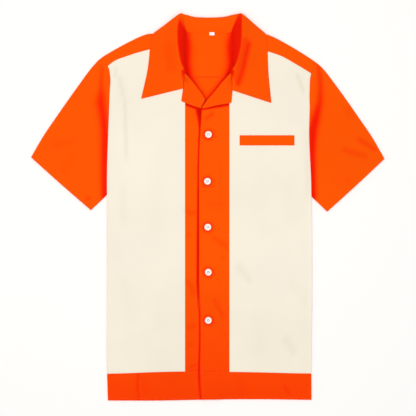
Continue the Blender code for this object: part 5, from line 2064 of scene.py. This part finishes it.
# The collar leaf's creases with their painted shade, and the gorge's painted shade.
LEAF_CREASES_AND_SHADE = Creases(GORGE_SHADE.rows + crease_rows(
    (((86, 346), (78, 310), (70, 276), (58.5, 243)), 7, -1.2, 0.85, (0.15, 0.1)),
    (((79, 350), (73, 312), (65, 276), (57, 250)), 11, -0.2, 0.5, (0.1, 0.1)),
    (((-80, 350), (-78, 310), (-70, 262)), 15, -0.8, 0.22),
    (((-112, 290), (-108, 250)), 11, -0.5, 0.05),
    (((108, 320), (104, 270)), 12, -0.6, 0.06),
))
COLLAR_RIGHT = tuple(Station(*row) for row in (
    ((-11, 359.4, 3.3), (-11, 387.2, 4.8), (-13, 337), 0, 22),
    ((-27, 359.9, 3.4), (-27, 388.2, 5.2), (-34, 337.8), 0, 22),
    ((-40, 362.4, 3.8), (-41.6, 391.6, 6.8), (-64, 341), 0, 25),
    ((-45.2, 367.4, 4.6), (-49.6, 393.4, 8.8), (-90, 347.6), 0, 28),
    ((-46.8, 369.4, 5.4), (-53, 394.5, 10.4), (-101.4, 354.4), 0.08, 32),
    ((-47.2, 369.6, 6.2), (-54.8, 394.4, 11.6), (-107.2, 357.4), 0.5, 36),
    ((-47.2, 368, 6.8), (-56.4, 392, 12.8), (-110.6, 354.6), 0.92, 40),
    ((-46.8, 364, 7), (-58, 386.6, 14.2), (-113, 348), 1, 46),
    ((-46.4, 352, 6.4), (-61.6, 367, 17.6), (-116.6, 338), 1, 60),
    ((-46.2, 334, 5.4), (-61.8, 338, 20), (-117.8, 325), 1, 72),
    ((-46.2, 312, 5), (-59.4, 316, 20), (-119.2, 308), 1, 76),
    ((-46.2, 291, 5.4), (-54.6, 293.6, 17), (-121.6, 288), 1, 76),
    ((-44.8, 279.2, 8), (-49.2, 280.4, 13.2), (-124.6, 270), 1, 60),
    ((-50.2, 264, 8.4), (-53.8, 264.2, 9.6), (-128, 255), 1, 30),
    ((-51.2, 242.6, 6.9), (-54.6, 241.9, 7), (-135.8, 221.9), 1, 5),
))
COLLAR_LEFT = tuple(Station(*row) for row in (
    ((23, 359.4, 3.3), (23, 387.6, 4.8), (25, 337), 0, 22),
    ((37, 360, 3.4), (38, 389.2, 5.4), (47, 338), 0, 22),
    ((47.6, 362, 3.8), (52.6, 392.6, 7.2), (76, 341), 0, 25),
    ((50.8, 365.6, 4.6), (62, 394, 9.2), (100, 346.4), 0, 28),
    ((52, 367.6, 5.4), (66.2, 394.7, 10.8), (111.2, 352.6), 0.08, 32),
    ((52.3, 367.8, 6.2), (68, 394.4, 11.9), (116.6, 355.4), 0.5, 36),
    ((52.3, 366.2, 6.8), (69, 391.6, 13), (118.6, 352.6), 0.92, 40),
    ((52, 362.4, 7), (69.6, 386.2, 14.4), (119.6, 346.4), 1, 46),
    ((51.6, 350, 6.4), (69.9, 366, 17.8), (121.2, 336), 1, 60),
    ((51.3, 330, 5.4), (68.4, 334, 20.4), (122.2, 320), 1, 72),
    ((51.2, 309, 5), (64.2, 311, 20.4), (122.5, 304), 1, 76),
    ((50.8, 291, 5.4), (58.2, 292, 17.4), (123.2, 286), 1, 76),
    ((46.8, 278.4, 8), (51, 279.4, 13.2), (124.4, 266), 1, 60),
    ((50.8, 262.4, 8.4), (54.4, 262.4, 9.6), (126.4, 246), 1, 30),
    ((51, 238.8, 6.9), (54.6, 238, 7), (129.7, 213.3), 1, 5),
))
LAPELS = {
    Side.RIGHT: (
        LapelStation((-4.6, 219.2), 1.3, (-14.6, 202.2)),
        LapelStation((-8.6, 228.2), 1.7, (-30, 207.2)),
        LapelStation((-19.4, 242.8), 2.4, (-54, 216.4)),
        LapelStation((-29, 255.6), 3, (-50.6, 240.6)),
        LapelStation((-38.6, 266.6), 3.6, (-50.4, 257)),
        LapelStation((-44.8, 273.8), 4, (-49.6, 268.8))),
    Side.LEFT: (
        LapelStation((-12.4, 203.4), 0.7, (-7.6, 201.6)),
        LapelStation((-1.7, 219), 1.6, (20, 208.6)),
        LapelStation((15.7, 239.3), 2.4, (48.2, 213)),
        LapelStation((27.6, 254.8), 3, (50.4, 236.8)),
        LapelStation((39.6, 267.8), 3.6, (51.2, 256)),
        LapelStation((46.2, 274.4), 4, (50.4, 267.8))),
}
# Painted shade in creases near the cuffs.
SLEEVE_SHADE = Creases(crease_rows(
    (((-244, 24), (-247, 10)), 4, 0, 0.3),
    (((330, 128), (343, 116)), 4, 0, 0.35),
))


@dataclass
class BowlingShirt:
    """The whole shirt: its finishes, its pieces and the rows of stitches that hold them together."""

    pattern: Pattern = field(default_factory=Pattern)
    seam_row: float = 1.8
    edge_row: float = 6.0
    leaf_row: float = 5.0
    hem_row: float = 20.0

    def __post_init__(self) -> None:
        """Make what every piece shares."""
        self.lie = Lie(self.pattern, BODY_CREASES_AND_SHADE)
        # Each cloth: its colour at the hem, darker by painted shade, and from the waist up, then painted
        # shade in an open and in a shut crease.
        self.orange = Poplin("orange_cotton_poplin", "#ff4000", "#ff5700", "#fa1e00", "#d40800").build()
        self.cream = Poplin("cream_cotton_poplin", "#f6edda", "#f8efdd", "#dccfb4", "#b8a888").build()
        thread = SewingThread("orange_sewing_thread", "#ff5f14").build()
        self.rows = Stitching("orange_stitching", thread, Slot.ORANGE)
        self.back_rows = Stitching("orange_stitching_behind", thread, Slot.ORANGE, radius=0.14, lift=0.03)

    def build(self) -> None:
        """Build the body, the collar and the trimmings, then sew the rows."""
        self.body()
        for side in Side:
            self.front(side)
        self.neck()
        self.trimmings()
        self.rows.build()
        self.back_rows.build()

    def body(self) -> None:
        """The back and the yoke, with two rows along the yoke's seams and one above the hem."""
        back = Back(self.lie, self.orange, "back", Slot.ORANGE, (0.43, 0.662), 0.28, shade=NECK_SHADE,
                    outside=BACK_CREASES_AND_SHADE).build()
        self.back_rows.sew_inset(back, (Rim.FIRST_ROW, self.hem_row), under=True)
        yoke = Yoke(self.lie, self.orange, "yoke", Slot.ORANGE, (0.45, 0.16), 0.05, ("back",),
                    shade=NECK_SHADE, outside=BACK_CREASES_AND_SHADE)
        grid = yoke.build()
        self.back_rows.sew_inset(grid, (Rim.FIRST_ROW, self.seam_row), (Rim.FIRST_ROW, 7.0), under=True)
        count = yoke.shoulder_cols
        for part in (slice(0, count), slice(-count, None)):
            self.rows.sew_inset(grid, (Rim.LAST_ROW, self.seam_row), part=part)
        self.rows.sew_inset(grid, (Rim.FIRST_ROW, self.seam_row), part=slice(count, -count))

    def front(self, side: Side) -> None:
        """One side's front, strip, hem band, sleeve and lapel.

        Args:
            side: the wearer's side.
        """
        word = side.word
        shade = UNDER_SHADE if side is Side.RIGHT else OVER_SHADE
        FrontPanel(self.lie, self.cream, f"front_panel_{word}", Slot.CREAM, (0.17, 0.66), 0.10, ("back",),
                   side=side).build()
        strip = FrontStrip(self.lie, self.orange, f"front_strip_{word}", Slot.ORANGE, (0.063, 0.60), 0.035,
                           ("back",), side=side, shade=shade).build()
        band = HemBand(self.lie, self.orange, f"hem_band_{word}", Slot.ORANGE, (0.23, 0.058), 0.0125,
                       ("back",), side=side, shade=shade).build()
        sleeve = Sleeve(self.lie, self.orange, f"sleeve_{word}", Slot.ORANGE, (0.60, 0.20), 0.065,
                        side=side, shade=SLEEVE_SHADE, outside=BACK_CREASES_AND_SHADE)
        lapel = Lapel(self.lie, self.orange, f"facing_{word}", Slot.ORANGE, (0.08, 0.05), 0.0025,
                      (f"front_strip_{word}",), side=side, stations=LAPELS[side], shade=GORGE_SHADE).build()
        self.rows.sew_inset(strip, (Rim.FIRST_COL, self.seam_row), (Rim.LAST_COL, self.edge_row))
        self.rows.sew_inset(band, (Rim.FIRST_ROW, 4.0), (Rim.LAST_ROW, self.seam_row),
                            (Rim.LAST_COL, self.edge_row))
        self.rows.sew_inset(lapel, (Rim.LAST_ROW, self.leaf_row), (Rim.FIRST_COL, 3.0))
        upper = slice(2, sleeve.upper_cols - 1)
        self.rows.sew_inset(sleeve.build(), (Rim.LAST_ROW, self.hem_row), (Rim.FIRST_ROW, self.seam_row),
                            part=upper)

    def neck(self) -> None:
        """The collar, with a row inside its outer edge and its two ends."""
        collar = Collar(self.lie, self.orange, "collar", Slot.ORANGE, (0.50, 0.10), 0.04, ("yoke",),
                        wall=1.5, stations=COLLAR_RIGHT[::-1] + COLLAR_LEFT, shade=LEAF_CREASES_AND_SHADE)
        grid = collar.build()
        self.rows.sew_inset(grid, (Rim.LAST_ROW, self.leaf_row), part=slice(3, -3))
        leaf = slice(collar.stand_rows + 2, -3)
        self.rows.sew_inset(grid, (Rim.FIRST_COL, 2.0), (Rim.LAST_COL, 2.0), part=leaf)

    def trimmings(self) -> None:
        """The pocket welt, the blank neck label and the buttons."""
        welt = PocketWelt(self.lie, self.orange, "pocket_welt", Slot.ORANGE, (0.1115, 0.020), 0.0022,
                          ("front_panel_left",)).build()
        self.rows.sew_inset(welt, *((rim, self.seam_row) for rim in Rim))
        satin = SatinTape("white_satin_tape", "#fffefc").build()
        NeckLabel(self.lie, satin, "neck_label", Slot.LABEL, (0.010, 0.010), 0.00006, ("yoke",),
                  wall=0.5).build()
        # Pale and swirl colours of the button, then the painted shade of its holes and dish.
        pearl = PearlPolyester("pearl_polyester", "#fffdf9", "#f4ece4", "#a8685a").build()
        thread = SewingThread("cream_sewing_thread", "#e8ddc8").build()
        for number, centre in enumerate(BUTTON_CENTRES, start=1):
            Button(self.lie, pearl, thread, f"button_{number}", centre, turn=0.12 * number).build()


def main() -> None:
    """Build the shirt, then the studio."""
    logging.basicConfig(level=logging.INFO, format="%(name)s %(message)s")
    BowlingShirt().build()
    Studio().build()


if __name__ == "__main__":
    main()
